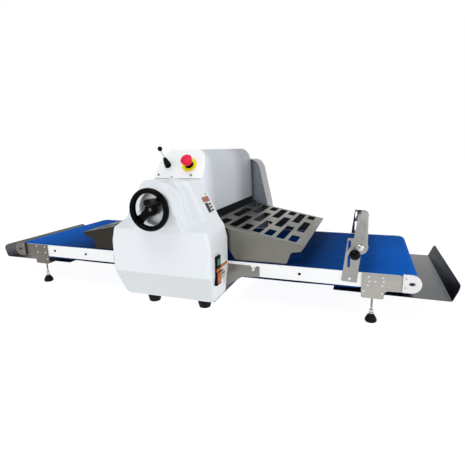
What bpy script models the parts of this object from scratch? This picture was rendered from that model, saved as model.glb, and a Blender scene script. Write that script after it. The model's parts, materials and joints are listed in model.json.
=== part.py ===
"""Bench-top dough sheeter with two conveyor tables.

Machine axes before the final shift: X runs along the belts, Y from the handwheel side to the
rear, Z up from the bench.  Y = 0 is the middle of the belts and X = 0 the middle of the rollers.
Everything hangs on the empty "machine_origin", which moves the model along Y until the origin
lies under the middle of its outer box.  All sizes are in metres.
"""
import math

import bmesh
import bpy
from mathutils import Matrix, Vector
from mathutils.geometry import convex_hull_2d

# ---- driving dimensions ---------------------------------------------------------------------
GAP = 0.0003                   # air left between two pieces that touch
ORIGIN_SHIFT_Y = 0.070         # puts the origin under the middle of the outer box
SIDES = (("left", -1), ("right", 1))
ENDS = (("front", -1), ("rear", 1))

BELT_TOP_Z = 0.168
BELT_T = 0.0022
BELT_HALF_W = 0.283
NIP_R = 0.030                  # the two sheeting rollers
NIP_GAP = 0.006                # roller gap at rest
ROLLER_HALF_L = 0.2835
JOURNAL_R = 0.010
DRIVE_R = 0.0265               # table roller beside the nip
DRIVE_X = 0.066
END_R = 0.020                  # table roller at the outer end
END_X = 0.7798
BELT_SAG = ((0.20, 0.1115), (0.42, 0.1105), (0.62, 0.1135))

RAIL_OUT_Y = 0.290
RAIL_T = 0.003
RAIL_BOTTOM_Z = 0.120
RAIL_TOP_Z = 0.1686
SHEET_Y0 = RAIL_OUT_Y + GAP    # layer of the stainless side plates on the rails
SHEET_T = 0.002

PLATE_IN_Y = 0.2926            # inner face of both machine side plates
PLATE_T = 0.008
WALL = 0.003                   # wall of the moulded housings
INSET = WALL + GAP
PLATE_BOTTOM_Z = 0.0406
PAN_Z = 0.0383
PAN_T = 0.002
FOOT_X = 0.103
FRONT_FOOT_Y = -0.322
REAR_FOOT_Y = 0.345

# front housing: height, half width and front face of each level, bottom to top
HOUSING_LEVELS = (
    (0.053, 0.169, -0.400),
    (0.065, 0.1735, -0.409),
    (0.152, 0.183, -0.450),
    (0.258, 0.183, -0.450),
    (0.302, 0.172, -0.450),
    (0.327, 0.1545, -0.403),
    (0.440, 0.0975, -0.3945),
    (0.456, 0.087, -0.384),
)
HOUSING_CORNER_R = 0.013
BOSS_STEPS = ((-0.320, 0.086), (-0.428, 0.080), (-0.433, 0.066), (-0.455, 0.060))
BOSS_FLARE = math.radians(25)
BOSS_FOOT_Z = 0.288

# rear housing: half outline in X and Z from the bottom up
REAR_OUTLINE = (
    (0.160, 0.046), (0.176, 0.058), (0.183, 0.085), (0.183, 0.235), (0.178, 0.289),
    (0.148, 0.419), (0.137, 0.468), (0.124, 0.491), (0.103, 0.505),
)
REAR_Y = 0.405
REAR_EDGE = 0.010

# cover over the rollers: half outline in X and Z from the lower edge up
COVER_OUTLINE = (
    (0.100, 0.330), (0.0975, 0.410), (0.0945, 0.484), (0.0915, 0.508),
    (0.0835, 0.531), (0.0705, 0.547), (0.055, 0.5555),
)
COVER_T = 0.0015
PANEL_FOOT = Vector((0.0, -0.2923, 0.4565))
PANEL_TILT = math.atan2(0.1003, 0.0805)
PANEL_T = 0.002
JOYSTICK_AT = (-0.053, 0.055)  # across the panel, up its slope
LEVER_LEAN = math.radians(10)  # the lever at rest leans up the slope
ESTOP_AT = (0.032, 0.057)

SHAFT_Z = 0.375
SHAFT_R = 0.008
LIFT_PER_RAD = 0.0067
WHEEL_DOWN = math.radians(45)
WHEEL_UP = math.radians(255)
CAM_REST_R = 0.024
CAM_MID_Y = 0.318
HANGER_MID_Y = 0.306
HANGER_T = 0.008
FOLLOWER_R = 0.006
FOLLOWER_PLAY = 0.001
WHEEL_Y = -0.490
WHEEL_R = 0.060
WHEEL_RIM_R = 0.0085
WHEEL_RIM_DEPTH = 1.5          # the rim's section is deeper than it is wide
SPOKE_Y = -0.4815              # middle of the spokes, set back from the rim
SPOKE_ANGLE = math.radians(41)
GRIP_OFFSET = 0.050
GRIP_BASE_Y = -0.5038
GRIP_TIP_Y = -0.570

GUARD_HINGE = (0.115, 0.3008)
GUARD_END_X = 0.4495
GUARD_SLOPE = 0.2
GUARD_HALF_W = 0.278
GUARD_T = 0.0015
GUARD_ROD_R = 0.004
SLOT_W = 0.030
SLOT_PITCH = 0.0438
SLOT_MARGIN = 0.0335
SLOT_COLUMNS = 7
GUARD_CHEEK = (                # lower edge of a guard's cheeks in X and Z, from its outer end
    (0.437, 0.217), (0.405, 0.212), (0.397, 0.190), (0.391, 0.1705), (0.206, 0.1705),
    (0.186, 0.205), (0.150, 0.270),
)

END_PLATE_X0 = 0.634
BEARING_PLATE_R = {"front": 0.029, "rear": 0.0215}    # the rear ones stay below the belt

TRAY_Z = 0.0925
TRAY_T = 0.0015
TRAY_HALF_W = 0.267
SUPPORT_X = 0.669
SUPPORT_Y = 0.272
TAKE_UP_X = 0.624
TAKE_UP_Z = 0.252
TAKE_UP_R = 0.0225
TAKE_UP_SLOT_X = 0.5925
CLAMP_BALL = Vector((0.611, -0.352, 0.241))
CLAMP_BALL_R = 0.0165
LUG_T = 0.005

MOTOR_X = -0.100
MOTOR_Z = 0.200
MOTOR_R = 0.042
GEARBOX_HALF = 0.044
GEARBOX_Y = (-0.368, -0.346)
SPROCKET_Y = -0.335
SPROCKET_T = 0.006
MOTOR_SPROCKET_R = 0.020
ROLLER_SPROCKET_R = 0.026
CHAIN_T = 0.004

SWITCH_Y = (-0.411, -0.3740)
SWITCH_Z = (0.117, 0.2150)
SWITCH_T = 0.006
BUTTON_TRAVEL = 0.0035
BUTTON_T = 0.004
BUTTON_PLAY = 0.0005


# ---- scene set-up and shared tools ----------------------------------------------------------
def clear_scene():
    for item in list(bpy.data.objects):
        bpy.data.objects.remove(item, do_unlink=True)


def new_collection(name):
    collection = bpy.data.collections.new(name)
    bpy.context.scene.collection.children.link(collection)
    return collection


clear_scene()
PARTS = new_collection("dough_sheeter")
CUTTERS = new_collection("cutters")
ORIGIN = bpy.data.objects.new("machine_origin", None)
ORIGIN.location = (0.0, ORIGIN_SHIFT_Y, 0.0)
PARTS.objects.link(ORIGIN)


def make_material(name, colour, roughness, metallic=0.0):
    made = bpy.data.materials.new(name)
    made.use_nodes = True
    shader = made.node_tree.nodes["Principled BSDF"]
    shader.inputs["Base Color"].default_value = (*colour, 1.0)
    shader.inputs["Roughness"].default_value = roughness
    shader.inputs["Metallic"].default_value = metallic
    made.diffuse_color = (*colour, 1.0)
    return made


WHITE_SHELL = make_material("white_shell", (0.86, 0.87, 0.88), 0.35)
WHITE_PAINT = make_material("white_paint", (0.88, 0.88, 0.88), 0.40)
GREY_PAINT = make_material("grey_paint", (0.28, 0.30, 0.34), 0.45)
STAINLESS = make_material("stainless", (0.55, 0.53, 0.50), 0.32, 1.0)
CHROME = make_material("chrome", (0.80, 0.80, 0.80), 0.12, 1.0)
STEEL = make_material("steel", (0.60, 0.60, 0.62), 0.30, 1.0)
BLUE_BELT = make_material("blue_belt", (0.010, 0.115, 0.42), 0.50)
BLACK_PLASTIC = make_material("black_plastic", (0.012, 0.012, 0.013), 0.30)
BLACK_RUBBER = make_material("black_rubber", (0.020, 0.020, 0.020), 0.70)
WHITE_PLASTIC = make_material("white_plastic", (0.85, 0.85, 0.85), 0.40)
DIAL_GREY = make_material("dial_grey", (0.50, 0.52, 0.54), 0.35, 0.8)
RED_PLASTIC = make_material("red_plastic", (0.75, 0.010, 0.040), 0.30)
GREEN_PLASTIC = make_material("green_plastic", (0.030, 0.30, 0.12), 0.35)
MOTOR_GREY = make_material("motor_grey", (0.20, 0.23, 0.26), 0.50)


def turn_to_y():
    """Local Z of a turned piece along world Y."""
    return Matrix.Rotation(-math.pi / 2, 4, "X")


def add_piece(name, mesh, material, matrix=None):
    piece = bpy.data.objects.new(name, mesh)
    PARTS.objects.link(piece)
    piece.parent = ORIGIN
    piece.matrix_local = matrix or Matrix.Identity(4)
    if material:
        mesh.materials.append(material)
    return piece


def as_tool(piece):
    """Takes a shape out of the parts, so that a Boolean can use it."""
    PARTS.objects.unlink(piece)
    CUTTERS.objects.link(piece)
    piece.hide_render = True
    piece.display_type = "WIRE"
    return piece


def combine(piece, operation, *tools, solver="EXACT"):
    for tool in tools:
        step = piece.modifiers.new(operation.lower(), "BOOLEAN")
        step.operation = operation
        step.solver = solver
        step.object = as_tool(tool)
    return piece


def join(piece, *tools, solver="EXACT"):
    return combine(piece, "UNION", *tools, solver=solver)


def cut(piece, *tools):
    return combine(piece, "DIFFERENCE", *tools)


def box(name, low, high, material=None):
    low, high = Vector(low), Vector(high)
    mesh = bpy.data.meshes.new(name)
    shape = bmesh.new()
    bmesh.ops.create_cube(shape, size=1.0)
    bmesh.ops.scale(shape, vec=high - low, verts=shape.verts)
    bmesh.ops.translate(shape, vec=(low + high) / 2, verts=shape.verts)
    shape.to_mesh(mesh)
    shape.free()
    return add_piece(name, mesh, material)


def rod_y(name, x, z, radius, y0, y1, material=None, sides=32):
    """Round bar along Y."""
    mesh = bpy.data.meshes.new(name)
    shape = bmesh.new()
    bmesh.ops.create_cone(shape, cap_ends=True, segments=sides, radius1=radius,
                          radius2=radius, depth=y1 - y0)
    shape.to_mesh(mesh)
    shape.free()
    mesh.set_sharp_from_angle(angle=math.radians(40))
    place = Matrix.Translation((x, (y0 + y1) / 2, z)) @ turn_to_y()
    return add_piece(name, mesh, material, place)


def turned(name, profile, material, matrix, steps=32, closed=False):
    """Turns a profile of (radius, height) points, listed down its outer side."""
    mesh = bpy.data.meshes.new(name)
    points = [(radius, 0.0, height) for radius, height in profile]
    edges = [(i, i + 1) for i in range(len(points) - 1)]
    if closed:
        edges.append((len(points) - 1, 0))
    mesh.from_pydata(points, edges, [])
    piece = add_piece(name, mesh, material, matrix)
    screw = piece.modifiers.new("turn", "SCREW")
    screw.steps = steps
    screw.render_steps = steps
    screw.use_merge_vertices = True
    screw.merge_threshold = 0.00001
    screw.use_smooth_shade = False
    return piece


def arc(centre, radius, start, end, count):
    """Points along an arc, with angles in degrees from +X towards the second axis."""
    points = []
    for i in range(count + 1):
        angle = math.radians(start + (end - start) * i / count)
        points.append((centre[0] + radius * math.cos(angle),
                       centre[1] + radius * math.sin(angle)))
    return points


def circle(centre, radius, count=32):
    return arc(centre, radius, 0, 360, count)[:-1]


def stadium(low, high, radius, count=6):
    """Upright slot between two centres."""
    return arc(high, radius, 0, 180, count) + arc(low, radius, 180, 360, count)


def rounded(outline, radius, count=3):
    """Rounds the corners of an outline; radius is one value or one for each corner."""
    radii = radius if isinstance(radius, (list, tuple)) else [radius] * len(outline)
    points = []
    for i, corner in enumerate(outline):
        here = Vector(corner)
        if radii[i] <= 0:
            points.append(tuple(here))
            continue
        before = (Vector(outline[i - 1]) - here).normalized()
        after = (Vector(outline[(i + 1) % len(outline)]) - here).normalized()
        half = before.angle(after) / 2
        reach = radii[i] / math.tan(half)
        centre = here + (before + after).normalized() * (radii[i] / math.sin(half))
        first = here + before * reach - centre
        last = here + after * reach - centre
        turn = math.atan2(first.x * last.y - first.y * last.x, first.dot(last))
        for step in range(count + 1):
            points.append(tuple(centre + Matrix.Rotation(turn * step / count, 2) @ first))
    return points


def mirrored(half):
    """Closes a half outline, given up its +X side, with its mirror image."""
    return list(half) + [(-x, z) for x, z in reversed(half)]


def flat_plate(name, outlines, thickness, material, matrix):
    """Plate from a filled 2D curve; outlines after the first are holes."""
    curve = bpy.data.curves.new(name, "CURVE")
    curve.dimensions = "2D"
    curve.fill_mode = "BOTH"
    curve.extrude = thickness / 2
    for outline in outlines:
        spline = curve.splines.new("POLY")
        spline.points.add(len(outline) - 1)
        for point, place in zip(spline.points, outline):
            point.co = (place[0], place[1], 0.0, 1.0)
        spline.use_cyclic_u = True
    guide = bpy.data.objects.new(name + "_outline", curve)
    CUTTERS.objects.link(guide)
    bpy.context.view_layer.update()
    evaluated = guide.evaluated_get(bpy.context.evaluated_depsgraph_get())
    mesh = bpy.data.meshes.new_from_object(evaluated)
    bpy.data.objects.remove(guide, do_unlink=True)
    shape = bmesh.new()
    shape.from_mesh(mesh)
    bmesh.ops.remove_doubles(shape, verts=shape.verts, dist=0.00001)
    bmesh.ops.recalc_face_normals(shape, faces=shape.faces)
    shape.to_mesh(mesh)
    shape.free()
    return add_piece(name, mesh, material, matrix)


def plate_xz(name, outlines, y0, y1, material=None):
    """Plate whose outlines lie in X and Z, from y0 to y1."""
    place = Matrix.Translation((0, (y0 + y1) / 2, 0)) @ Matrix.Rotation(math.pi / 2, 4, "X")
    return flat_plate(name, outlines, abs(y1 - y0), material, place)


def bar_yz(name, outline, x0, x1, material=None):
    """Section in Y and Z, drawn out along X."""
    turn = Matrix(((0, 0, 1, 0), (1, 0, 0, 0), (0, 1, 0, 0), (0, 0, 0, 1)))
    place = Matrix.Translation(((x0 + x1) / 2, 0, 0)) @ turn
    return flat_plate(name, [outline], abs(x1 - x0), material, place)


def loft(name, rings, material=None):
    """Closed skin through rings of equal point count, with flat ends."""
    shape = bmesh.new()
    rows = [[shape.verts.new(point) for point in ring] for ring in rings]
    count = len(rows[0])
    for lower, upper in zip(rows, rows[1:]):
        for i in range(count):
            j = (i + 1) % count
            shape.faces.new((lower[i], lower[j], upper[j], upper[i]))
    shape.faces.new(list(reversed(rows[0])))
    shape.faces.new(rows[-1])
    bmesh.ops.recalc_face_normals(shape, faces=shape.faces)
    mesh = bpy.data.meshes.new(name)
    shape.to_mesh(mesh)
    shape.free()
    return add_piece(name, mesh, material)


def loop_outline(circles, offset):
    """Outline of a band pulled round circles of (x, z, radius), offset outwards."""
    points = []
    for x, z, radius in circles:
        points += circle((x, z), radius + offset, 32)
    vectors = [Vector(point) for point in points]
    return [tuple(vectors[i]) for i in convex_hull_2d(vectors)]


def end_y(sign, inner, outer):
    """Low and high Y of a layer given as distances from the middle."""
    return tuple(sorted((sign * inner, sign * outer)))


# ---- housings and frame ---------------------------------------------------------------------
def housing_ring(level, inset, back_y):
    """Plan outline of the front housing at one level."""
    z, half_width, front_y = level
    half_width -= inset
    front_y += inset
    radius = HOUSING_CORNER_R - inset
    right = arc((half_width - radius, front_y + radius), radius, 0, -90, 5)
    left = arc((radius - half_width, front_y + radius), radius, -90, -180, 5)
    plan = [(half_width, back_y)] + right + left + [(-half_width, back_y)]
    return [(x, y, z) for x, y in plan]


def boss_ring(y, radius):
    """Arch round the wheel shaft whose legs flare out to the ledge."""
    reach = (SHAFT_Z - BOSS_FOOT_Z) * math.tan(BOSS_FLARE)
    arch = arc((0, SHAFT_Z), radius, 0, 180, 16)
    outline = [(radius + reach, BOSS_FOOT_Z)] + arch + [(-radius - reach, BOSS_FOOT_Z)]
    return [(x, y, z) for x, z in outline]


def front_cover():
    outer = [housing_ring(level, 0.0, -PLATE_IN_Y) for level in HOUSING_LEVELS]
    cover = loft("front_cover", outer, WHITE_SHELL)
    boss = loft("boss_outside", [boss_ring(y, r) for y, r in BOSS_STEPS])
    levels = list(HOUSING_LEVELS)
    bottom, top = levels[0], levels[-1]
    levels[0] = (bottom[0] - 0.010, bottom[1], bottom[2])
    levels[-1] = (top[0] - WALL, top[1], top[2])
    inside = loft("cover_inside", [housing_ring(level, WALL, -0.280) for level in levels])
    hollow = [boss_ring(y + WALL, radius - WALL) for y, radius in BOSS_STEPS]
    boss_hollow = loft("boss_inside", hollow)
    shaft_hole = rod_y("shaft_hole", 0, SHAFT_Z, SHAFT_R + 0.0025, -0.47, -0.44)
    join(cover, boss)
    cut(cover, inside, boss_hollow, shaft_hole)


def side_plate_holes():
    """Bores for the rollers, wheel shaft and guard rods, and the upper roller's slot."""
    upper_z = BELT_TOP_Z + NIP_GAP + NIP_R
    low = upper_z - WHEEL_DOWN * LIFT_PER_RAD - 0.0005
    high = upper_z + WHEEL_UP * LIFT_PER_RAD + 0.0005
    holes = [
        circle((0, BELT_TOP_Z - NIP_R), JOURNAL_R + GAP, 24),
        stadium((0, low), (0, high), JOURNAL_R + GAP, 8),
        circle((0, SHAFT_Z), SHAFT_R + 0.0005, 24),
    ]
    drive_z = BELT_TOP_Z - BELT_T - DRIVE_R
    for _, sign in SIDES:
        holes.append(circle((sign * DRIVE_X, drive_z), SHAFT_R + GAP, 24))
        holes.append(circle((sign * GUARD_HINGE[0], GUARD_HINGE[1]), GUARD_ROD_R + GAP, 16))
    return holes


def front_side_plate():
    half = [(0.160, PLATE_BOTTOM_Z), (0.1655, 0.050)]
    half += [(width - INSET - 0.0006, z) for z, width, _ in HOUSING_LEVELS[1:-1]]
    shoulder, top = HOUSING_LEVELS[-2:]
    half[-1] = (shoulder[1] - INSET - 0.0030, shoulder[0])
    half.append((top[1] - INSET - 0.0070, top[0] - INSET - 0.0040))
    half.append((top[1] - INSET - 0.0160, top[0] - INSET - 0.0012))
    outlines = [mirrored(half)] + side_plate_holes()
    plate_xz("front_side_plate", outlines, -PLATE_IN_Y - PLATE_T, -PLATE_IN_Y, GREY_PAINT)


def inset_outline(half, inset):
    """Half outline moved inwards by the inset, square to each of its sides."""
    moved = []
    for i, corner in enumerate(half):
        before = Vector(half[max(i - 1, 0)])
        after = Vector(half[min(i + 1, len(half) - 1)])
        along = (after - before).normalized()
        moved.append((corner[0] - inset * along.y, corner[1] + inset * along.x))
    return moved


def rear_side_plate():
    half = inset_outline(REAR_OUTLINE, INSET + 0.0004)
    half[0] = (0.154, PLATE_BOTTOM_Z + 0.0090)
    half[-1] = (half[-1][0] - 0.003, REAR_OUTLINE[-1][1] - INSET - 0.0004)
    outlines = [mirrored(half)] + side_plate_holes()
    plate_xz("rear_side_plate", outlines, PLATE_IN_Y, PLATE_IN_Y + PLATE_T, GREY_PAINT)


def rear_ring(y, inset):
    half = inset_outline(REAR_OUTLINE, inset)
    half[0] = (REAR_OUTLINE[0][0] - inset, REAR_OUTLINE[0][1] + inset)
    half[-1] = (REAR_OUTLINE[-1][0] - inset, REAR_OUTLINE[-1][1] - inset)
    return [(x, y, z) for x, z in mirrored(half)]


def rear_cover():
    outer = [rear_ring(PLATE_IN_Y, 0), rear_ring(REAR_Y - REAR_EDGE, 0),
             rear_ring(REAR_Y - REAR_EDGE * 0.3, REAR_EDGE * 0.3), rear_ring(REAR_Y, REAR_EDGE)]
    cover = loft("rear_cover", outer, WHITE_SHELL)
    inner = [rear_ring(PLATE_IN_Y - 0.010, WALL), rear_ring(REAR_Y - REAR_EDGE, WALL),
             rear_ring(REAR_Y - WALL, WALL + REAR_EDGE * 0.8)]
    cut(cover, loft("rear_inside", inner))


def panel_matrix(lift=0.0):
    """Frame of the control panel: X across it, Y up its slope, Z out of it."""
    slope = Matrix.Rotation(PANEL_TILT, 4, "X")
    return Matrix.Translation(PANEL_FOOT) @ slope @ Matrix.Translation((0, 0, lift))


def roller_cover():
    outline = mirrored(COVER_OUTLINE)
    cover = plate_xz("roller_cover", [outline], -PLATE_IN_Y + GAP, PLATE_IN_Y - GAP, WHITE_PAINT)
    half = inset_outline(COVER_OUTLINE, COVER_T)
    half[0] = (COVER_OUTLINE[0][0] - COVER_T, COVER_OUTLINE[0][1] - 0.010)
    half[-1] = (COVER_OUTLINE[-1][0] - COVER_T, COVER_OUTLINE[-1][1] - COVER_T)
    inside = plate_xz("cover_hollow", [mirrored(half)], -0.300, PLATE_IN_Y - GAP - COVER_T)
    above = box("above_panel", (-0.15, -0.05, -GAP), (0.15, 0.25, 0.25))
    above.matrix_local = panel_matrix()
    shaft_hole = rod_y("cover_shaft_hole", 0, SHAFT_Z, SHAFT_R + 0.0025, 0.280, 0.300)
    cut(cover, inside, above, shaft_hole)


def control_panel():
    half = [(0.0950, 0.0)]
    rise = math.sin(PANEL_TILT)
    half += [(x, (z - PANEL_FOOT.z) / rise) for x, z in COVER_OUTLINE[2:]]
    flat_plate("control_panel", [mirrored(half)], PANEL_T, WHITE_PAINT,
               panel_matrix(PANEL_T / 2))


def base_pan():
    box("base_pan", (-0.160, -0.368, PAN_Z), (0.160, 0.385, PAN_Z + PAN_T), STEEL)


def housing_feet():
    profile = [(0, PAN_Z - GAP), (0.0265, PAN_Z - GAP), (0.0265, 0.026), (0.020, 0.0), (0, 0.0)]
    for end, y in (("front", FRONT_FOOT_Y), ("rear", REAR_FOOT_Y)):
        for side, sign in SIDES:
            place = Matrix.Translation((sign * FOOT_X, y, 0))
            turned(f"housing_foot_{side}_{end}", profile, BLACK_RUBBER, place, 24)


def power_inlet():
    """Cable gland on the rear housing, without a cable."""
    y0 = REAR_Y + GAP
    place = Matrix.Translation((-0.110, y0, 0.090)) @ turn_to_y()
    profile = [(0, 0.0247), (0.0075, 0.0247), (0.0095, 0.018), (0.0095, 0.010), (0.0125, 0.010),
               (0.0125, 0), (0, 0)]
    turned("power_inlet", profile, BLACK_PLASTIC, place, 18)


def table_supports():
    """Bent channel on each side that carries a table's inner end on two notched cheeks."""
    cheek = [(0.112, 0.161), (0.268, 0.158), (0.271, 0.141), (0.283, 0.141), (0.286, 0.1575),
             (0.299, 0.157), (0.299, 0.119), (0.239, 0.116), (0.178, 0.078), (0.112, 0.078)]
    radii = [0, 0.004, 0.004, 0.004, 0.004, 0.004, 0.004, 0.010, 0.006, 0]
    for side, sign in SIDES:
        outline = [(sign * x, z) for x, z in rounded(cheek, radii, 2)]
        outer = SHEET_Y0 + SHEET_T
        piece = plate_xz(f"{side}_table_support", [outline], -outer, -SHEET_Y0, STAINLESS)
        far = plate_xz("far_cheek", [outline], SHEET_Y0, outer)
        low, high = sorted((sign * 0.125, sign * 0.172))
        web = box("support_web", (low, -outer + 0.0004, 0.0785),
                  (high, outer - 0.0004, 0.0805))
        join(piece, far, web)


def lower_scraper():
    """Blade under the lower roller, between the side plates."""
    reach = PLATE_IN_Y - GAP
    tip_z = BELT_TOP_Z - 2 * NIP_R - 0.0006
    outline = [(-0.001, tip_z), (-0.005, tip_z), (-0.040, 0.0800), (-0.036, 0.0790)]
    plate_xz("lower_scraper", [outline], -reach, reach, STAINLESS)


# ---- conveyor tables ------------------------------------------------------------------------
def table_bed(side, sign):
    """Painted sheet with an upright rail on each edge, under and beside the belt."""
    bed_z = BELT_TOP_Z - BELT_T - GAP
    inner = RAIL_OUT_Y - RAIL_T
    right = [(inner, bed_z - 0.002), (inner, RAIL_BOTTOM_Z), (RAIL_OUT_Y, RAIL_BOTTOM_Z),
             (RAIL_OUT_Y, RAIL_TOP_Z), (inner, RAIL_TOP_Z), (inner, bed_z)]
    section = right + [(-y, z) for y, z in reversed(right)]
    bar_yz(f"{side}_table_bed", section, sign * 0.105, sign * 0.745, WHITE_PAINT)


def conveyor_belt(side, sign):
    drive_z = BELT_TOP_Z - BELT_T - DRIVE_R
    end_z = BELT_TOP_Z - BELT_T - END_R
    circles = [(sign * DRIVE_X, drive_z, DRIVE_R + GAP), (sign * END_X, end_z, END_R + GAP)]
    circles += [(sign * x, z + BELT_T + 0.004, 0.004) for x, z in BELT_SAG]
    outer = loop_outline(circles, BELT_T - GAP)
    inner = loop_outline(circles, 0.0)
    plate_xz(f"{side}_belt", [outer, inner], -BELT_HALF_W, BELT_HALF_W, BLUE_BELT)


def table_rollers(side, sign):
    drive_z = BELT_TOP_Z - BELT_T - DRIVE_R
    end_z = BELT_TOP_Z - BELT_T - END_R
    roller(f"{side}_drive_roller", sign * DRIVE_X, drive_z, DRIVE_R, SHAFT_R, 0.3008)
    roller(f"{side}_end_roller", sign * END_X, end_z, END_R, 0.0045, 0.2965)


def roller(name, x, z, radius, journal, reach, extra=()):
    """Round roller along Y with a journal at each end; extra points extend its front end."""
    body = ROLLER_HALF_L
    profile = [(0, reach), (journal, reach), (journal, body), (radius, body),
               (radius, -body), (journal, -body)]
    profile += list(extra) if extra else [(journal, -reach), (0, -reach)]
    place = Matrix.Translation((x, 0, z)) @ turn_to_y()
    return turned(name, profile, STEEL, place, 24 if radius < NIP_R else 32)


def end_bracket(side, sign):
    """Stainless cheeks at the outer end of a table, joined by a strip that takes the feet."""
    cheek = [(END_PLATE_X0, RAIL_TOP_Z), (0.765, RAIL_TOP_Z), (0.765, 0.116), (0.712, 0.1145),
             (0.703, 0.107), (0.703, 0.086), (END_PLATE_X0, 0.086)]
    radii = [0.002, 0, 0, 0.004, 0.003, 0.006, 0.006]
    outline = [(sign * x, z) for x, z in rounded(cheek, radii, 3)]
    outer = SHEET_Y0 + SHEET_T
    piece = plate_xz(f"{side}_end_bracket", [outline], -outer, -SHEET_Y0, STAINLESS)
    far = plate_xz("far_end_cheek", [outline], SHEET_Y0, outer)
    low, high = sorted((sign * 0.640, sign * 0.699))
    strip = box("foot_strip", (low, -outer + 0.0004, 0.0865), (high, outer - 0.0004, 0.0890))
    join(piece, far, strip)
    for _, end in ENDS:
        hole = turned("foot_hole", [(0, 0.10), (0.0044, 0.10), (0.0044, 0.07), (0, 0.07)], None,
                      Matrix.Translation((sign * SUPPORT_X, end * SUPPORT_Y, 0)), 16)
        cut(piece, hole)


def bearing_plates(side, sign):
    """Round-ended plastic plates with the tension slot for the end roller."""
    centre_z = BELT_TOP_Z - BELT_T - END_R
    centre_x = 0.778
    inner_x = 0.7535
    slot = arc((END_X + 0.004, centre_z), 0.0052, -90, 90, 6)
    slot += arc((END_X - 0.004, centre_z), 0.0052, 90, 270, 6)
    inner = SHEET_Y0 + SHEET_T + GAP
    for name, end in ENDS:
        radius = BEARING_PLATE_R[name]
        outline = [(inner_x, centre_z - radius)]
        outline += arc((centre_x, centre_z), radius, -90, 90, 12)
        outline.append((inner_x, centre_z + radius))
        outlines = [[(sign * x, z) for x, z in line] for line in (outline, slot)]
        y0, y1 = end_y(end, inner, inner + 0.005)
        plate_xz(f"{side}_bearing_plate_{name}", outlines, y0, y1, WHITE_PLASTIC)


def catch_tray(side, sign):
    """Sheet under the end of the belt with its outer edge turned up."""
    inner_x = 0.546
    top_z = TRAY_Z + TRAY_T
    section = [(inner_x, TRAY_Z), (0.8965, TRAY_Z), (0.9175, 0.1435), (0.9160, 0.1442),
               (0.8954, top_z), (inner_x, top_z)]
    outline = [(sign * x, z) for x, z in section]
    tray = plate_xz(f"{side}_tray", [outline], -TRAY_HALF_W, TRAY_HALF_W, STAINLESS)
    corner = 0.022
    for _, end in ENDS:
        y_tip = end * (TRAY_HALF_W + 0.002)
        profile = [(y_tip, 0.150), (y_tip, 0.1435 - corner), (y_tip - end * corner, 0.150)]
        low, high = sorted((sign * 0.89, sign * 0.93))
        cut(tray, bar_yz("tray_corner", profile, low, high))


def support_feet(side, sign):
    """Levelling feet: threaded rod in a rubber cone."""
    profile = [(0, 0.093), (0.0040, 0.093), (0.0040, 0.030), (0.0075, 0.029), (0.0125, 0.020),
               (0.0185, 0.010), (0.0190, 0.004), (0.0165, 0.0), (0, 0.0)]
    for name, end in ENDS:
        place = Matrix.Translation((sign * SUPPORT_X, end * SUPPORT_Y, 0))
        turned(f"{side}_support_foot_{name}", profile, BLACK_RUBBER, place, 16)


# ---- guards ---------------------------------------------------------------------------------
def slot_rows(column):
    """Y ranges of the slots in one column; the columns alternate like bricks."""
    if column % 2 == 0:
        return ((-0.248, -0.160), (-0.090, 0.100), (0.170, 0.252))
    return ((-0.248, -0.040), (0.045, 0.250))


def guard(side, sign):
    """Slotted sheet over a belt, with side cheeks and a hinge rod along its inner edge."""
    hinge_x, hinge_z = GUARD_HINGE
    length = (GUARD_END_X - hinge_x) / math.cos(math.atan(GUARD_SLOPE))
    half_w = GUARD_HALF_W - GUARD_T
    sheet = [(0.0, -half_w), (length, -half_w), (length, half_w), (0.0, half_w)]
    slots = []
    for column in range(SLOT_COLUMNS):
        outer = length - SLOT_MARGIN - column * SLOT_PITCH
        for low, high in slot_rows(column):
            slots.append([(outer - SLOT_W, low), (outer, low), (outer, high),
                          (outer - SLOT_W, high)])
    outlines = [[(sign * x, y) for x, y in line] for line in [sheet] + slots]
    slope = Matrix.Rotation(sign * math.atan(GUARD_SLOPE), 4, "Y")
    place = Matrix.Translation((sign * hinge_x, 0, hinge_z)) @ slope
    top = flat_plate(f"{side}_guard", outlines, GUARD_T, STAINLESS, place)

    start_x, end_x = hinge_x + 0.0013, GUARD_END_X - 0.0017
    cheek = [(start_x, hinge_z - GUARD_SLOPE * (start_x - hinge_x)),
             (end_x, hinge_z - GUARD_SLOPE * (end_x - hinge_x)), *GUARD_CHEEK]
    radii = [0, 0.003, 0.004, 0.010, 0.006, 0.008, 0.012, 0.010, 0.020]
    outline = [(sign * x, z) for x, z in rounded(cheek, radii, 2)]
    for _, end in ENDS:
        y0, y1 = end_y(end, half_w - 0.0002, GUARD_HALF_W)
        join(top, plate_xz("guard_cheek", [outline], y0, y1), solver="MANIFOLD")
    reach = PLATE_IN_Y + 0.006
    rod = rod_y("guard_rod", sign * hinge_x, hinge_z, GUARD_ROD_R, -reach, reach, sides=16)
    join(top, rod, solver="MANIFOLD")


# ---- roller lift ----------------------------------------------------------------------------
def cam_outline():
    """Spiral whose radius under the follower grows evenly as the wheel turns up."""
    highest = WHEEL_UP + math.radians(8)
    lowest = WHEEL_DOWN + math.radians(12)
    points = []
    steps = 40
    for i in range(steps + 1):
        angle = -highest + (highest + lowest) * i / steps
        radius = CAM_REST_R - LIFT_PER_RAD * angle
        points.append((radius * math.sin(angle), SHAFT_Z + radius * math.cos(angle)))
    return points


def lift_shaft():
    """Cross shaft turned by the handwheel, with a lifting cam near each end."""
    shaft = rod_y("lift_shaft", 0, SHAFT_Z, SHAFT_R, -0.4695, 0.3300, STEEL, 24)
    for _, end in ENDS:
        y0, y1 = end_y(end, CAM_MID_Y - 0.004, CAM_MID_Y + 0.004)
        join(shaft, plate_xz("cam", [cam_outline()], y0, y1))


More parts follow.
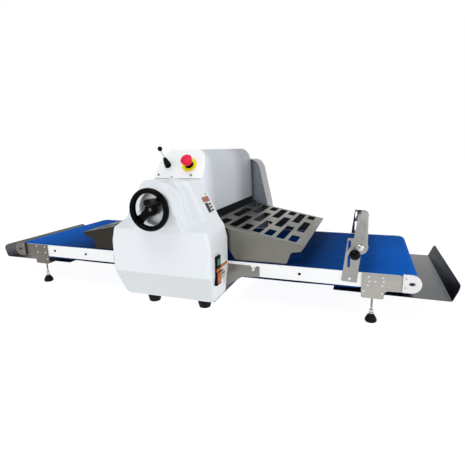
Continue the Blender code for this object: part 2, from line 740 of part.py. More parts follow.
def hangers():
    """Plates that carry the upper roller and ride on the cams with a follower pin."""
    upper_z = BELT_TOP_Z + NIP_GAP + NIP_R
    slot_low = SHAFT_Z - WHEEL_UP * LIFT_PER_RAD
    slot_high = SHAFT_Z + WHEEL_DOWN * LIFT_PER_RAD
    pin_z = SHAFT_Z + CAM_REST_R + FOLLOWER_R + FOLLOWER_PLAY
    outline = [(0.022, 0.183), (0.022, 0.417), (-0.022, 0.417), (-0.022, 0.183)]
    outlines = [rounded(outline, 0.010), circle((0, upper_z), JOURNAL_R + GAP),
                stadium((0, slot_low), (0, slot_high), SHAFT_R + 0.0007, 8)]
    for name, end in ENDS:
        y0, y1 = end_y(end, HANGER_MID_Y - HANGER_T / 2, HANGER_MID_Y + HANGER_T / 2)
        hanger = plate_xz(f"hanger_{name}", outlines, y0, y1, STEEL)
        pin_y = end_y(end, HANGER_MID_Y + HANGER_T / 2 - 0.001, CAM_MID_Y + 0.004)
        join(hanger, rod_y("follower", 0, pin_z, FOLLOWER_R, pin_y[0], pin_y[1], sides=20))


def sheeting_rollers():
    upper_z = BELT_TOP_Z + NIP_GAP + NIP_R
    roller("upper_roller", 0, upper_z, NIP_R, JOURNAL_R, 0.3100)
    inner, outer = SPROCKET_Y + SPROCKET_T / 2, SPROCKET_Y - SPROCKET_T / 2
    tip = SPROCKET_Y - 0.010
    sprocket = [(JOURNAL_R, inner), (ROLLER_SPROCKET_R, inner), (ROLLER_SPROCKET_R, outer),
                (JOURNAL_R, outer), (JOURNAL_R, tip), (0, tip)]
    roller("lower_roller", 0, BELT_TOP_Z - NIP_R, NIP_R, JOURNAL_R, 0.3005, sprocket)


def handwheel():
    bpy.ops.mesh.primitive_torus_add(major_radius=WHEEL_R, minor_radius=WHEEL_RIM_R,
                                     major_segments=36, minor_segments=8)
    made = bpy.context.object
    mesh = made.data
    bpy.data.objects.remove(made, do_unlink=True)
    deeper = Matrix.Diagonal((1, 1, WHEEL_RIM_DEPTH, 1))
    place = Matrix.Translation((0, WHEEL_Y, SHAFT_Z)) @ turn_to_y()
    wheel = add_piece("handwheel", mesh, BLACK_PLASTIC, place @ deeper)
    reach = WHEEL_R
    bar = [(reach, -0.012), (reach, 0.012), (-reach, 0.012), (-reach, -0.012)]
    turn = Matrix.Rotation(SPOKE_ANGLE, 2)
    outline = [tuple(turn @ Vector(point) + Vector((0, SHAFT_Z))) for point in bar]
    spoke = plate_xz("spokes", [outline], SPOKE_Y - 0.004, SPOKE_Y + 0.004)
    hub_profile = [(0, 0.0200), (0.0215, 0.0200), (0.0220, 0.0165), (0.0195, 0.0035),
                   (0, 0.0035)]
    hub = turned("hub", hub_profile, None, place, 24)
    x, z = grip_place()
    join(wheel, spoke, hub, rod_y("grip_pad", x, z, 0.0080, GRIP_BASE_Y, SPOKE_Y, sides=16))


def grip_place():
    """X and Z of the grip's axis at rest."""
    return (GRIP_OFFSET * math.cos(SPOKE_ANGLE),
            SHAFT_Z + GRIP_OFFSET * math.sin(SPOKE_ANGLE))


def wheel_grip():
    """Tapered turning grip on the upper spoke."""
    x, z = grip_place()
    base = GRIP_BASE_Y - GAP
    length = base - GRIP_TIP_Y
    place = Matrix.Translation((x, base, z)) @ Matrix.Rotation(math.pi / 2, 4, "X")
    profile = [(0, length), (0.006, length - 0.001), (0.0100, length - 0.006),
               (0.0110, length - 0.014), (0.0100, length - 0.030), (0.0075, 0.006),
               (0.0060, 0.0), (0, 0.0)]
    turned("wheel_grip", profile, BLACK_PLASTIC, place, 20)


def dial_plate():
    y0 = BOSS_STEPS[-1][0] - GAP
    outlines = [circle((0, SHAFT_Z), 0.056, 40), circle((0, SHAFT_Z), SHAFT_R + 0.0025, 24)]
    plate_xz("dial_plate", outlines, y0 - 0.004, y0, DIAL_GREY)


# ---- drive ----------------------------------------------------------------------------------
def gear_motor():
    length = 0.070
    front, back = GEARBOX_Y
    motor = rod_y("gear_motor", MOTOR_X, MOTOR_Z, MOTOR_R, front - length, front + 0.002,
                  MOTOR_GREY, 24)
    gearbox = box("gearbox", (MOTOR_X - GEARBOX_HALF, front, MOTOR_Z - GEARBOX_HALF),
                  (MOTOR_X + GEARBOX_HALF, back, MOTOR_Z + GEARBOX_HALF))
    join(motor, gearbox)


def motor_sprocket():
    radius = MOTOR_SPROCKET_R
    hub = 0.009
    inner, outer = SPROCKET_Y + SPROCKET_T / 2 + 0.001, SPROCKET_Y - SPROCKET_T / 2
    foot = GEARBOX_Y[1] + GAP
    profile = [(0, inner), (radius, inner), (radius, outer), (hub, outer), (hub, foot), (0, foot)]
    place = Matrix.Translation((MOTOR_X, 0, MOTOR_Z)) @ turn_to_y()
    turned("motor_sprocket", profile, STEEL, place, 24)


def drive_chain():
    play = 0.0005
    circles = [(MOTOR_X, MOTOR_Z, MOTOR_SPROCKET_R + play),
               (0, BELT_TOP_Z - NIP_R, ROLLER_SPROCKET_R + play)]
    outlines = [loop_outline(circles, CHAIN_T), loop_outline(circles, 0.0)]
    half = SPROCKET_T / 2
    plate_xz("drive_chain", outlines, SPROCKET_Y - half, SPROCKET_Y + half, STEEL)


# ---- controls -------------------------------------------------------------------------------
def on_panel(place):
    """Frame on the outer face of the panel, at a place across and up its slope."""
    return panel_matrix(PANEL_T + GAP) @ Matrix.Translation((place[0], place[1], 0))


def joystick():
    base = on_panel(JOYSTICK_AT) @ Matrix.Rotation(-LEVER_LEAN, 4, "X")
    top = 0.0370
    boot = [(0, top), (0.0056, top), (0.0060, 0.0340), (0.0085, 0.0240), (0.0112, 0.0120),
            (0.0115, 0.0095), (0.0095, 0.0065), (0, 0.0065)]
    turned("joystick_boot", boot, BLACK_RUBBER, base, 16)
    ball_z = 0.0785
    ball_r = 0.0083
    ball = arc((0, ball_z), ball_r, 84, -70, 6)
    lever = [(0, ball_z + ball_r)] + ball
    lever += [(0.0025, ball_z - ball_r + 0.0008), (0.0025, top + GAP), (0, top + GAP)]
    turned("joystick_lever", lever, CHROME, base, 12)


def emergency_stop():
    base = on_panel(ESTOP_AT)
    collar = [(0.0155, 0.0078), (0.0155, 0.0), (0.0072, 0.0), (0.0072, 0.0078)]
    turned("estop_collar", collar, BLACK_PLASTIC, base, 24, closed=True)
    button = [(0, 0.0370), (0.0180, 0.0370), (0.0210, 0.0345), (0.0210, 0.0315), (0.0190, 0.0240),
              (0.0160, 0.0150), (0.0145, 0.0130), (0.0068, 0.0130), (0.0068, 0.0060), (0, 0.0060)]
    turned("estop_button", button, RED_PLASTIC, base, 24)


def start_stop_switch():
    """Switch plate on the right flank with a green and a red push button in its pockets."""
    lower, wide = HOUSING_LEVELS[1:3]
    flank = wide[1] + GAP
    face = flank + SWITCH_T
    share = (SWITCH_Z[0] - lower[0]) / (wide[0] - lower[0])
    foot = lower[1] + (wide[1] - lower[1]) * share + GAP
    outline = [(foot, SWITCH_Z[0]), (face, SWITCH_Z[0]), (face, SWITCH_Z[1]),
               (flank, SWITCH_Z[1]), (flank, wide[0])]
    plate = plate_xz("switch_plate", [outline], SWITCH_Y[0], SWITCH_Y[1], BLACK_PLASTIC)
    floor_x = flank + 0.001
    rear_x = floor_x + BUTTON_TRAVEL
    frame_w = 0.0065
    y0, y1 = SWITCH_Y[0] + frame_w, SWITCH_Y[1] - frame_w
    for name, z0, z1, material in (("start_button", 0.1835, 0.2065, GREEN_PLASTIC),
                                   ("stop_button", 0.1225, 0.160, RED_PLASTIC)):
        cut(plate, box("pocket", (floor_x, y0, z0), (face + 0.01, y1, z1)))
        box(name, (rear_x, y0 + BUTTON_PLAY, z0 + BUTTON_PLAY),
            (rear_x + BUTTON_T, y1 - BUTTON_PLAY, z1 - BUTTON_PLAY), material)


# ---- take-up roller on the right table ------------------------------------------------------
def take_up_uprights():
    """Slotted plates on the rails; the roller's axle drops in a notch at the outer edge."""
    outline = [(0.572, 0.136), (0.6195, 0.133), (0.6275, 0.2285), (0.6165, 0.2285),
               (0.6165, 0.2770), (0.586, 0.2770)]
    radii = [0.003, 0.003, 0.001, 0, 0.003, 0.003]
    slot = stadium((TAKE_UP_SLOT_X, 0.186), (TAKE_UP_SLOT_X, 0.266), 0.004)
    outlines = [rounded(outline, radii, 2), slot]
    for name, end in ENDS:
        y0, y1 = end_y(end, SHEET_Y0, SHEET_Y0 + SHEET_T)
        plate_xz(f"take_up_upright_{name}", outlines, y0, y1, STAINLESS)


def take_up_axle():
    """Axle with a lug at each end; each lug's guide pin runs in the upright's slot."""
    axle = rod_y("take_up_axle", TAKE_UP_X, TAKE_UP_Z, 0.006, -0.296, 0.296, STAINLESS, 20)
    inner = SHEET_Y0 + SHEET_T + GAP
    pin_z = TAKE_UP_Z - 0.020
    disc = arc((TAKE_UP_X, TAKE_UP_Z), 0.024, -110, 110, 14)
    ear = arc((TAKE_UP_SLOT_X, pin_z), 0.009, 110, 250, 6)
    for _, end in ENDS:
        y0, y1 = end_y(end, inner, inner + LUG_T)
        join(axle, plate_xz("lug", [disc + ear], y0, y1))
        pin_y = end_y(end, SHEET_Y0 - 0.001, inner + 0.001)
        join(axle, rod_y("guide_pin", TAKE_UP_SLOT_X, pin_z, 0.0035, pin_y[0], pin_y[1],
                         sides=12))


def take_up_roller():
    """Thin-walled tube on the axle, closed at both ends by webs with a running bore."""
    half = 0.2840
    bore = 0.0063
    inside = 0.0190
    web = half - 0.006
    profile = [(bore, half), (TAKE_UP_R, half), (TAKE_UP_R, -half), (bore, -half),
               (bore, -web), (inside, -web), (inside, web), (bore, web)]
    place = Matrix.Translation((TAKE_UP_X, 0, TAKE_UP_Z)) @ turn_to_y()
    turned("take_up_roller", profile, STAINLESS, place, 24, closed=True)


def take_up_clamp():
    """Clamping hub with a short ball lever on the front end of the axle."""
    face = -(SHEET_Y0 + SHEET_T + GAP + LUG_T + GAP)
    hub = rod_y("take_up_clamp", TAKE_UP_X, TAKE_UP_Z, 0.0115, face - 0.016, face, CHROME, 20)
    start = Vector((TAKE_UP_X, face - 0.010, TAKE_UP_Z))
    along = CLAMP_BALL - start
    place = Matrix.Translation(start) @ along.to_track_quat("Z", "Y").to_matrix().to_4x4()
    length = along.length
    rod_r = 0.0062
    ball = arc((0, length), CLAMP_BALL_R, 84, -62, 6)
    lever = [(0, length + CLAMP_BALL_R)] + ball
    lever += [(rod_r, length - CLAMP_BALL_R - 0.0015), (rod_r, 0), (0, 0)]
    join(hub, turned("ball_lever", lever, None, place, 16))


def build():
    front_cover()
    front_side_plate()
    rear_side_plate()
    rear_cover()
    roller_cover()
    control_panel()
    base_pan()
    housing_feet()
    power_inlet()
    table_supports()
    lower_scraper()
    for side, sign in SIDES:
        table_bed(side, sign)
        conveyor_belt(side, sign)
        table_rollers(side, sign)
        end_bracket(side, sign)
        bearing_plates(side, sign)
        catch_tray(side, sign)
        support_feet(side, sign)
        guard(side, sign)
    lift_shaft()
    hangers()
    sheeting_rollers()
    handwheel()
    wheel_grip()
    dial_plate()
    gear_motor()
    motor_sprocket()
    drive_chain()
    joystick()
    emergency_stop()
    start_stop_switch()
    take_up_uprights()
    take_up_axle()
    take_up_roller()
    take_up_clamp()


build()
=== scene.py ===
import json
import math

import bmesh
import bpy
from mathutils import Matrix, Vector
from mathutils.geometry import convex_hull_2d


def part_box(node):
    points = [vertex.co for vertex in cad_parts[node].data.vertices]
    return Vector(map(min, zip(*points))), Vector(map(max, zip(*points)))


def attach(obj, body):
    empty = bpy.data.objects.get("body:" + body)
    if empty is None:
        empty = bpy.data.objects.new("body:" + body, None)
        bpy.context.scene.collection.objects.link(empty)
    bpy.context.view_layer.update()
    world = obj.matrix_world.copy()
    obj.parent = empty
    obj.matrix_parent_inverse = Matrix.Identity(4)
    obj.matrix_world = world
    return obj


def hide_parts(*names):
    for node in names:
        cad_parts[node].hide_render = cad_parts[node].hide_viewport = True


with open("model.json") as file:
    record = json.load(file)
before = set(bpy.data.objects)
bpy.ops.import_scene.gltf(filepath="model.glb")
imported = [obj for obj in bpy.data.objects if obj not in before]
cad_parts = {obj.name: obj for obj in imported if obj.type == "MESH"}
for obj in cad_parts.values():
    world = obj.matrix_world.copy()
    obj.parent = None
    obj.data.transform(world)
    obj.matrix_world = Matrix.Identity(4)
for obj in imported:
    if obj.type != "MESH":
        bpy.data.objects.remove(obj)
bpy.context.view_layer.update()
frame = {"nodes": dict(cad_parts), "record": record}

# Looks of a bench-top dough sheeter.  Pieces are built in the machine's own axes, in metres:
# X along the belts, Y from the handwheel side to the rear with Y = 0 in the middle of the
# belts, Z up from the bench.  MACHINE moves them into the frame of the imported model.
RECORD = frame["record"]
BODY_OF = {node: body for body, nodes in RECORD["behaviour"]["bodies"].items() for node in nodes}
SLOT_OF = {part["node"]: part["material_slot"] for part in RECORD["subparts"]}
SIDES = (("left", -1), ("right", 1))
ENDS = (("front", -1), ("rear", 1))


def middle(node):
    low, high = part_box(node)
    return (low + high) / 2


def size(node):
    low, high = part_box(node)
    return high - low


MID_Y = middle("right_belt").y
MACHINE = Matrix.Translation((0, MID_Y, 0))
PLATE_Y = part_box("rear_side_plate")[0].y - MID_Y
SHAFT_Z = middle("dial_plate").z
WHEEL_Y = -0.490
SPOKE_Y = -0.4815
SHEET_Y = MID_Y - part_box("right_end_bracket")[0].y
RAIL_Y = MID_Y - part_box("right_table_bed")[0].y
GAP = 0.0003
WALL = 0.003
WELD = 0.000005
PATCH_SINK = 0.0008
PRINT_LIFT = 0.0009
ROLLER_HALF = 0.2835
SHEET_T = 0.0015

# front housing: height, half width and front face of each level, bottom to top
HOUSING_LEVELS = (
    (0.035, 0.163, -0.388), (0.065, 0.1735, -0.409), (0.152, 0.183, -0.450),
    (0.258, 0.183, -0.450), (0.302, 0.172, -0.450), (0.327, 0.1545, -0.403),
    (0.440, 0.0975, -0.3945), (0.456, 0.087, -0.384),
)
HOUSING_CORNER_R = 0.013
BOSS_STEPS = ((-0.320, 0.086), (-0.426, 0.081), (-0.434, 0.066), (-0.4555, 0.060))
BOSS_FLARE = math.radians(25)
BOSS_KNEE_Z = 0.316
BOSS_FOOT = (-0.4490, 0.288)        # foremost Y and the height at which the boss's legs end
REAR_OUTLINE = (
    (0.160, 0.046), (0.176, 0.058), (0.183, 0.085), (0.183, 0.235), (0.178, 0.289),
    (0.148, 0.419), (0.137, 0.468), (0.124, 0.491), (0.103, 0.505),
)
REAR_EDGE = 0.012
COVER_OUTLINE = (
    (0.100, 0.330), (0.0975, 0.410), (0.0945, 0.484), (0.0915, 0.508),
    (0.0835, 0.531), (0.0705, 0.547), (0.055, 0.5555),
)
PANEL_FOOT = Vector((0.0, -0.2923, 0.4565))
PANEL_TILT = math.atan2(0.1003, 0.0805)
PANEL_T = 0.002
JOYSTICK_AT = (-0.053, 0.055)
LEVER_LEAN = math.radians(10)
ESTOP_AT = (0.032, 0.057)
SPOKE_ANGLE = math.radians(41)
GUARD_HINGE = (0.115, 0.3008)
GUARD_SLOPE = 0.2
GUARD_END_X = 0.4495
TAKE_UP = (0.624, 0.252)
CLAMP_BALL_AT = Vector((0.611, -0.352, 0.241))


# ---- materials ------------------------------------------------------------------------------
MIX_FROM, MIX_TO, MIX_RESULT = 6, 7, 2      # the Mix node's sockets for colours


class Look:
    """Builds one procedural material around a Principled BSDF."""

    def __init__(self, name, colour, roughness, metallic=0.0, coat=0.0, coat_roughness=0.1,
                 specular=0.5):
        self.material = bpy.data.materials.new(name)
        self.material.use_nodes = True
        self.tree = self.material.node_tree
        self.shader = self.tree.nodes["Principled BSDF"]
        self.colour = (*colour, 1.0)
        self.material.diffuse_color = self.colour
        self.set("Base Color", self.colour)
        self.set("Roughness", roughness)
        self.set("Metallic", metallic)
        self.set("Coat Weight", coat)
        self.set("Coat Roughness", coat_roughness)
        self.set("Specular IOR Level", specular)
        self.coords = self.tree.nodes.new("ShaderNodeTexCoord").outputs["Object"]
        self.colour_out = None
        self.normal_out = None

    def put(self, node, name, value):
        """Sets an input, by name or number, to a value, or joins it to an output."""
        if isinstance(value, bpy.types.NodeSocket):
            self.tree.links.new(value, node.inputs[name])
        else:
            node.inputs[name].default_value = value

    def set(self, name, value):
        """Sets or joins an input of the shader."""
        self.put(self.shader, name, value)

    def node(self, kind, **inputs):
        made = self.tree.nodes.new("ShaderNode" + kind)
        for name, value in inputs.items():
            self.put(made, name.replace("_", " "), value)
        return made

    def stretched(self, stretch):
        mapping = self.node("Mapping", Vector=self.coords, Scale=stretch)
        return mapping.outputs["Vector"]

    def noise(self, scale, detail=3.0, stretch=None, roughness=0.55):
        where = self.stretched(stretch) if stretch else self.coords
        made = self.node("TexNoise", Vector=where, Scale=scale, Detail=detail,
                         Roughness=roughness)
        return made.outputs["Fac"]

    def numbered(self, kind, *values, **settings):
        """A node whose inputs are filled in order."""
        made = self.tree.nodes.new("ShaderNode" + kind)
        for name, setting in settings.items():
            setattr(made, name, setting)
        for i, value in enumerate(values):
            self.put(made, i, value)
        return made

    def range(self, value, low, high, to_low, to_high):
        return self.numbered("MapRange", value, low, high, to_low, to_high).outputs["Result"]

    def math(self, operation, first, second=0.5):
        return self.numbered("Math", first, second, operation=operation).outputs[0]

    def tint(self, factor, colour):
        """Mixes the colour so far towards another one by a factor from 0 to 1."""
        made = self.numbered("Mix", factor, data_type="RGBA")
        self.put(made, MIX_FROM, self.colour_out or self.colour)
        self.put(made, MIX_TO, (*colour, 1.0))
        self.colour_out = made.outputs[MIX_RESULT]
        self.set("Base Color", self.colour_out)
        return self

    def clouds(self, scale, amount, detail=4.0, stretch=None):
        """Faint darker clouds, amount being the strongest tint towards black."""
        dark = tuple(c * 0.55 for c in self.colour[:3])
        factor = self.range(self.noise(scale, detail, stretch), 0.35, 0.75, 0.0, amount)
        return self.tint(factor, dark)

    def rough(self, scale, low, high, detail=4.0, stretch=None):
        """Roughness that wanders between two values."""
        value = self.range(self.noise(scale, detail, stretch), 0.3, 0.7, low, high)
        self.set("Roughness", value)
        return self

    def bump(self, height, strength, distance):
        made = self.node("Bump", Strength=strength, Distance=distance, Height=height)
        if self.normal_out:
            self.put(made, "Normal", self.normal_out)
        self.normal_out = made.outputs["Normal"]
        self.set("Normal", self.normal_out)
        return self

    def grain(self, scale, strength, distance=0.0002, detail=2.0, stretch=None):
        return self.bump(self.noise(scale, detail, stretch), strength, distance)

    def along(self, axis, start, end, amount, share):
        """Fades the colour to a share of itself along an axis, as painted light and shade; X
        counts from the middle out.
        """
        parts = self.node("SeparateXYZ", Vector=self.coords)
        place = parts.outputs[axis]
        if axis == "X":
            place = self.math("ABSOLUTE", place)
        factor = self.range(place, start, end, 0.0, amount)
        return self.tint(factor, tuple(c * share for c in self.colour[:3]))

    def underside_shade(self, amount):
        """Painted shade that greys the faces turned towards the bench."""
        true = self.node("NewGeometry")
        split = self.node("SeparateXYZ", Vector=true.outputs["Normal"])
        factor = self.range(split.outputs["Z"], -0.10, -0.40, 0.0, amount)
        return self.tint(factor, tuple(c * share for c, share in
                                       zip(self.colour[:3], (0.42, 0.43, 0.39))))

    def edges(self, radius, colour, amount):
        """Rubbed edges: the colour changes where a rounded normal leaves the true one."""
        soft = self.node("Bevel", Radius=radius)
        true = self.node("NewGeometry")
        dot = self.numbered("VectorMath", soft.outputs["Normal"], true.outputs["Normal"],
                            operation="DOT_PRODUCT")
        patchy = self.range(self.noise(90.0), 0.35, 0.65, 0.35, 1.0)
        factor = self.math("MULTIPLY", self.range(dot.outputs["Value"], 0.96, 0.80, 0.0, amount),
                           patchy)
        return self.tint(factor, colour)


def moulded_white(name, colour):
    look = Look(name, colour, 0.30, coat=0.15, coat_roughness=0.15)
    # the faces turned down get painted shade
    look.clouds(5.0, 0.03).rough(9.0, 0.27, 0.38).underside_shade(0.30)
    return look.grain(420.0, 0.05, 0.0004).grain(2600.0, 0.04).material


def powder_white(name, colour, shade_fades=()):
    look = Look(name, colour, 0.40)
    # each fade darkens the colour along an axis: painted shade
    for shade_fade in shade_fades:
        look.along(*shade_fade)
    look.clouds(7.0, 0.04).rough(30.0, 0.34, 0.46)
    look.grain(1500.0, 0.10, 0.0003)
    return look.edges(0.0012, (0.62, 0.62, 0.62), 0.35).material


def panel_grey():
    """Grey paint, with painted shade that blackens it in the middle, inside the hood, and painted
    light that makes it pale at the foot.
    """
    look = Look("panel_grey", (0.150, 0.175, 0.205), 0.45)
    # painted shade where the plate lies inside the hood, painted light below the foot line
    look.along("X", 0.118, 0.098, 0.92, 0.06).along("Z", 0.060, 0.056, 1.0, 4.4)
    look.clouds(9.0, 0.25).rough(25.0, 0.38, 0.52).grain(1300.0, 0.12, 0.0003)
    return look.edges(0.0012, (0.40, 0.41, 0.42), 0.5).material


def brushed(name, colour, grain, low=0.26, high=0.42, lines=0.10, scale=260.0, rim=1.0):
    """Brushed sheet; grain holds the stretch, small in the direction of the lines."""
    look = Look(name, colour, low, 1.0)
    look.set("Specular Tint", (rim, rim, rim, 1.0))
    fine = look.noise(scale, 3.0, grain, 0.7)
    look.set("Roughness", look.range(fine, 0.25, 0.75, low, high))
    look.tint(look.range(fine, 0.3, 0.8, 0.0, 0.30), tuple(c * 0.72 for c in colour))
    look.clouds(11.0, 0.22)
    look.bump(fine, lines, 0.00012)
    look.set("Anisotropic", 0.45)
    return look.edges(0.0010, tuple(min(1.0, c * 1.5) for c in colour), 0.45).material


def ground_steel():
    look = Look("ground_steel", (0.52, 0.53, 0.55), 0.24, 1.0)
    look.rough(500.0, 0.18, 0.32, stretch=(1.0, 0.06, 1.0)).clouds(20.0, 0.12)
    return look.grain(900.0, 0.06, 0.0001, stretch=(1.0, 0.05, 1.0)).material


def polished():
    look = Look("polished_chrome", (0.72, 0.73, 0.75), 0.07, 1.0)
    look.rough(60.0, 0.05, 0.13)
    return look.clouds(35.0, 0.10).material


def belt_blue():
    """Woven belt with a matt face: a fine square weave, faint worked-in flour and painted shade
    towards the machine and the rear.
    """
    look = Look("belt_blue", (0.0008, 0.118, 0.560), 0.70, specular=0.015)
    weave = []
    for direction in ("X", "Y"):
        wave = look.node("TexWave", Vector=look.coords, Scale=210.0, Distortion=0.4)
        wave.bands_direction = direction
        weave.append(wave.outputs["Fac"])
    cloth = look.math("MULTIPLY", weave[0], weave[1])
    # painted shade: darker near the machine, under the guards, and towards the rear
    look.along("X", 0.75, 0.44, 1.0, 0.16).along("Y", 0.05, 0.35, 0.30, 0.20)
    look.clouds(6.0, 0.25, stretch=(0.35, 1.6, 1.0))
    look.tint(look.range(cloth, 0.2, 1.0, 0.0, 0.20), (0.004, 0.165, 0.68))
    look.tint(look.range(look.noise(38.0, 6.0), 0.62, 0.85, 0.0, 0.03), (0.10, 0.30, 0.62))
    look.rough(45.0, 0.60, 0.75)
    return look.bump(cloth, 0.30, 0.0002).material


def black_moulded(name="black_moulded", specular=0.055, low=0.24, high=0.36):
    look = Look(name, (0.0018, 0.0018, 0.0021), low, specular=specular)
    look.rough(40.0, low, high).clouds(30.0, 0.2)
    look.edges(0.0006, (0.012, 0.012, 0.013), 0.3)
    return look.grain(1600.0, 0.05).material


def rubber():
    look = Look("black_rubber", (0.0040, 0.0040, 0.0043), 0.58, specular=0.14)
    look.tint(look.range(look.noise(60.0, 6.0), 0.5, 0.8, 0.0, 0.20), (0.020, 0.0195, 0.019))
    look.rough(35.0, 0.45, 0.68)
    return look.grain(1100.0, 0.18, 0.0003).material


def plastic(name, colour, roughness=0.30, coat=0.2, specular=0.5):
    look = Look(name, colour, roughness, coat=coat, specular=specular)
    look.rough(70.0, roughness * 0.8, roughness * 1.25).clouds(25.0, 0.12)
    look.edges(0.0007, tuple(min(1.0, c * 1.25 + 0.02) for c in colour), 0.4)
    return look.grain(1700.0, 0.05).material


def spun_face():
    """Turned aluminium face with rings about the wheel's axis."""
    look = Look("spun_face", (0.50, 0.51, 0.53), 0.30, 0.9)
    centre = look.node("Mapping", Vector=look.coords, Location=(0.0, 0.0, -SHAFT_Z))
    flat = look.node("Mapping", Vector=centre.outputs["Vector"], Scale=(1.0, 0.0, 1.0))
    length = look.numbered("VectorMath", flat.outputs["Vector"], operation="LENGTH")
    noise = look.node("TexNoise", Scale=2200.0, Detail=2.0)
    noise.noise_dimensions = "1D"
    look.put(noise, "W", length.outputs["Value"])
    rings = noise.outputs["Fac"]
    look.set("Roughness", look.range(rings, 0.3, 0.7, 0.24, 0.42))
    look.tint(look.range(rings, 0.4, 0.8, 0.0, 0.35), (0.30, 0.31, 0.32))
    return look.bump(rings, 0.12, 0.0001).material


def floor_look():
    """Pale lit floor, as the glowing table of a light tent."""
    look = Look("pale_floor", (0.20, 0.20, 0.20), 0.70, specular=0.0)
    look.set("Emission Color", (1.0, 1.0, 1.0, 1.0))
    look.set("Emission Strength", 0.93)
    return look.clouds(1.5, 0.03).grain(300.0, 0.02).material


STAINLESS_COLOUR = (0.212, 0.208, 0.184)
LOOKS = {
    "white_shell": moulded_white("moulded_white", (0.785, 0.82, 0.855)),
    "white_paint": powder_white("powder_white", (0.90, 0.91, 0.915)),
    "grey_paint": panel_grey(),
    "stainless": brushed("brushed_stainless", STAINLESS_COLOUR, (0.04, 1.0, 1.0)),
    "chrome": polished(),
    "steel": ground_steel(),
    "blue_belt": belt_blue(),
    "black_plastic": black_moulded(),
    "black_rubber": rubber(),
    "white_plastic": plastic("white_acetal", (0.78, 0.785, 0.79), 0.34, 0.1),
    "dial_grey": spun_face(),
    "red_plastic": plastic("signal_red", (0.80, 0.010, 0.055), 0.36, 0.0, 0.2),
    "green_plastic": plastic("signal_green", (0.045, 0.235, 0.120), 0.32, 0.0, 0.3),
    "motor_grey": plastic("motor_paint", (0.10, 0.125, 0.15), 0.42, 0.0),
}
ACROSS = brushed("stainless_across", (0.275, 0.272, 0.250), (1.0, 0.04, 1.0))
# darker copy of the moulded white for the rear housing: painted shade
REAR_WHITE_SHADED = moulded_white("moulded_white_rear_shaded", (0.247, 0.252, 0.264))
# hood white: the bluish cast is painted reflected light from the blue belt, and the fades are
# painted shade towards the rear
HOOD_WHITE_SHADED = powder_white("powder_white_hood_shaded", (0.88, 0.935, 1.0),
                          (("Y", -0.215, -0.110, 1.0, 0.62), ("Y", 0.100, 0.230, 0.80, 0.28)))
PANEL_WHITE = powder_white("powder_white_panel", (0.90, 0.925, 0.935))
# darker copies of the stainless for the right tray and its lip: painted shade
TRAY_STEEL_SHADED = brushed("tray_stainless", (0.105, 0.109, 0.114), (1.0, 0.03, 1.0), 0.16, 0.24, 0.04,
                     rim=0.88)
LIP_STEEL_SHADED = brushed("tray_stainless_lip_shaded", (0.056, 0.064, 0.076), (1.0, 0.03, 1.0), 0.16, 0.24,
                    0.04, rim=0.45)
SHADED_TRAY = brushed("tray_stainless_shaded", (0.150, 0.152, 0.155), (1.0, 0.03, 1.0), 0.16,
                      0.24, 0.04)
GLOSS_BLACK = black_moulded("black_gloss", 0.09, 0.08, 0.12)
# lighter copies of the stainless for the front take-up upright and axle, the right end bracket
# and the supports: painted light
LIT_UPRIGHT = brushed("stainless_upright_lit", (0.375, 0.367, 0.35), (1.0, 1.0, 0.05))
LIT_END_STEEL = brushed("stainless_end_lit", (0.445, 0.43, 0.405), (0.05, 1.0, 1.0))
LIT_SUPPORT_STEEL = brushed("stainless_support_lit", (0.245, 0.243, 0.226), (0.05, 1.0, 1.0), rim=0.5)
SHADED_GUARD = brushed("stainless_shaded_guard", (0.042, 0.038, 0.032), (0.04, 1.0, 1.0))
SCREW_STEEL = plastic("screw_steel", (0.20, 0.20, 0.205), 0.30, 0.0)
SHADED_END = brushed("stainless_shaded_end", (0.185, 0.170, 0.150), (0.05, 1.0, 1.0))
YELLOW = plastic("signal_yellow", (0.92, 0.85, 0.012), 0.40, 0.0, 0.2)
ORANGE = plastic("signal_orange", (0.56, 0.145, 0.035), 0.40, 0.0, 0.3)
RUST = plastic("label_rust", (0.36, 0.130, 0.075), 0.45, 0.0, 0.3)
# near-black coat for the hood's inner faces: painted shade
INNER_SHADE = plastic("hood_inner_shade", (0.012, 0.012, 0.014), 0.60, 0.0, 0.15)
CARD = plastic("label_white", (0.76, 0.765, 0.77), 0.42, 0.0)
PRINT = plastic("label_dark", (0.022, 0.022, 0.025), 0.45, 0.0, 0.2)


# ---- mesh tools -----------------------------------------------------------------------------
def add(name, mesh, look, body, slot, replaces=(), sharp=38.0, world=False):
    """Adds a finished piece on a body; the mesh is in machine axes unless world is set."""
    if not world:
        mesh.transform(MACHINE)
    piece = linked(name, mesh)
    mesh.materials.clear()
    mesh.materials.append(look)
    mesh.shade_smooth()
    mesh.set_sharp_from_angle(angle=math.radians(sharp))
    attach(piece, body)
    if replaces:
        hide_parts(*replaces)
    return piece


def stand_in(name, mesh, node, look=None, **options):
    """Adds a piece that takes the place and body of a CAD node, and the look of its slot unless
    another look is given.
    """
    return add(name, mesh, look or LOOKS[SLOT_OF[node]], BODY_OF[node], SLOT_OF[node],
               (node,), **options)


def to_mesh(shape, matrix=None):
    """Mesh of a shape, which is used up; a mirroring matrix keeps the faces outwards."""
    mesh = bpy.data.meshes.new("made")
    shape.to_mesh(mesh)
    shape.free()
    if matrix:
        mesh.transform(matrix)
        if matrix.determinant() < 0:
            mesh.flip_normals()
    return mesh


def shape_of(*meshes):
    """An open shape that holds the faces of some meshes."""
    shape = bmesh.new()
    for mesh in meshes:
        shape.from_mesh(mesh)
    return shape


def merged(*meshes):
    """One mesh that holds several."""
    return to_mesh(shape_of(*meshes))


def outward(shape, matrix=None):
    """The shape's mesh with all faces turned outwards."""
    bmesh.ops.recalc_face_normals(shape, faces=shape.faces)
    return to_mesh(shape, matrix)


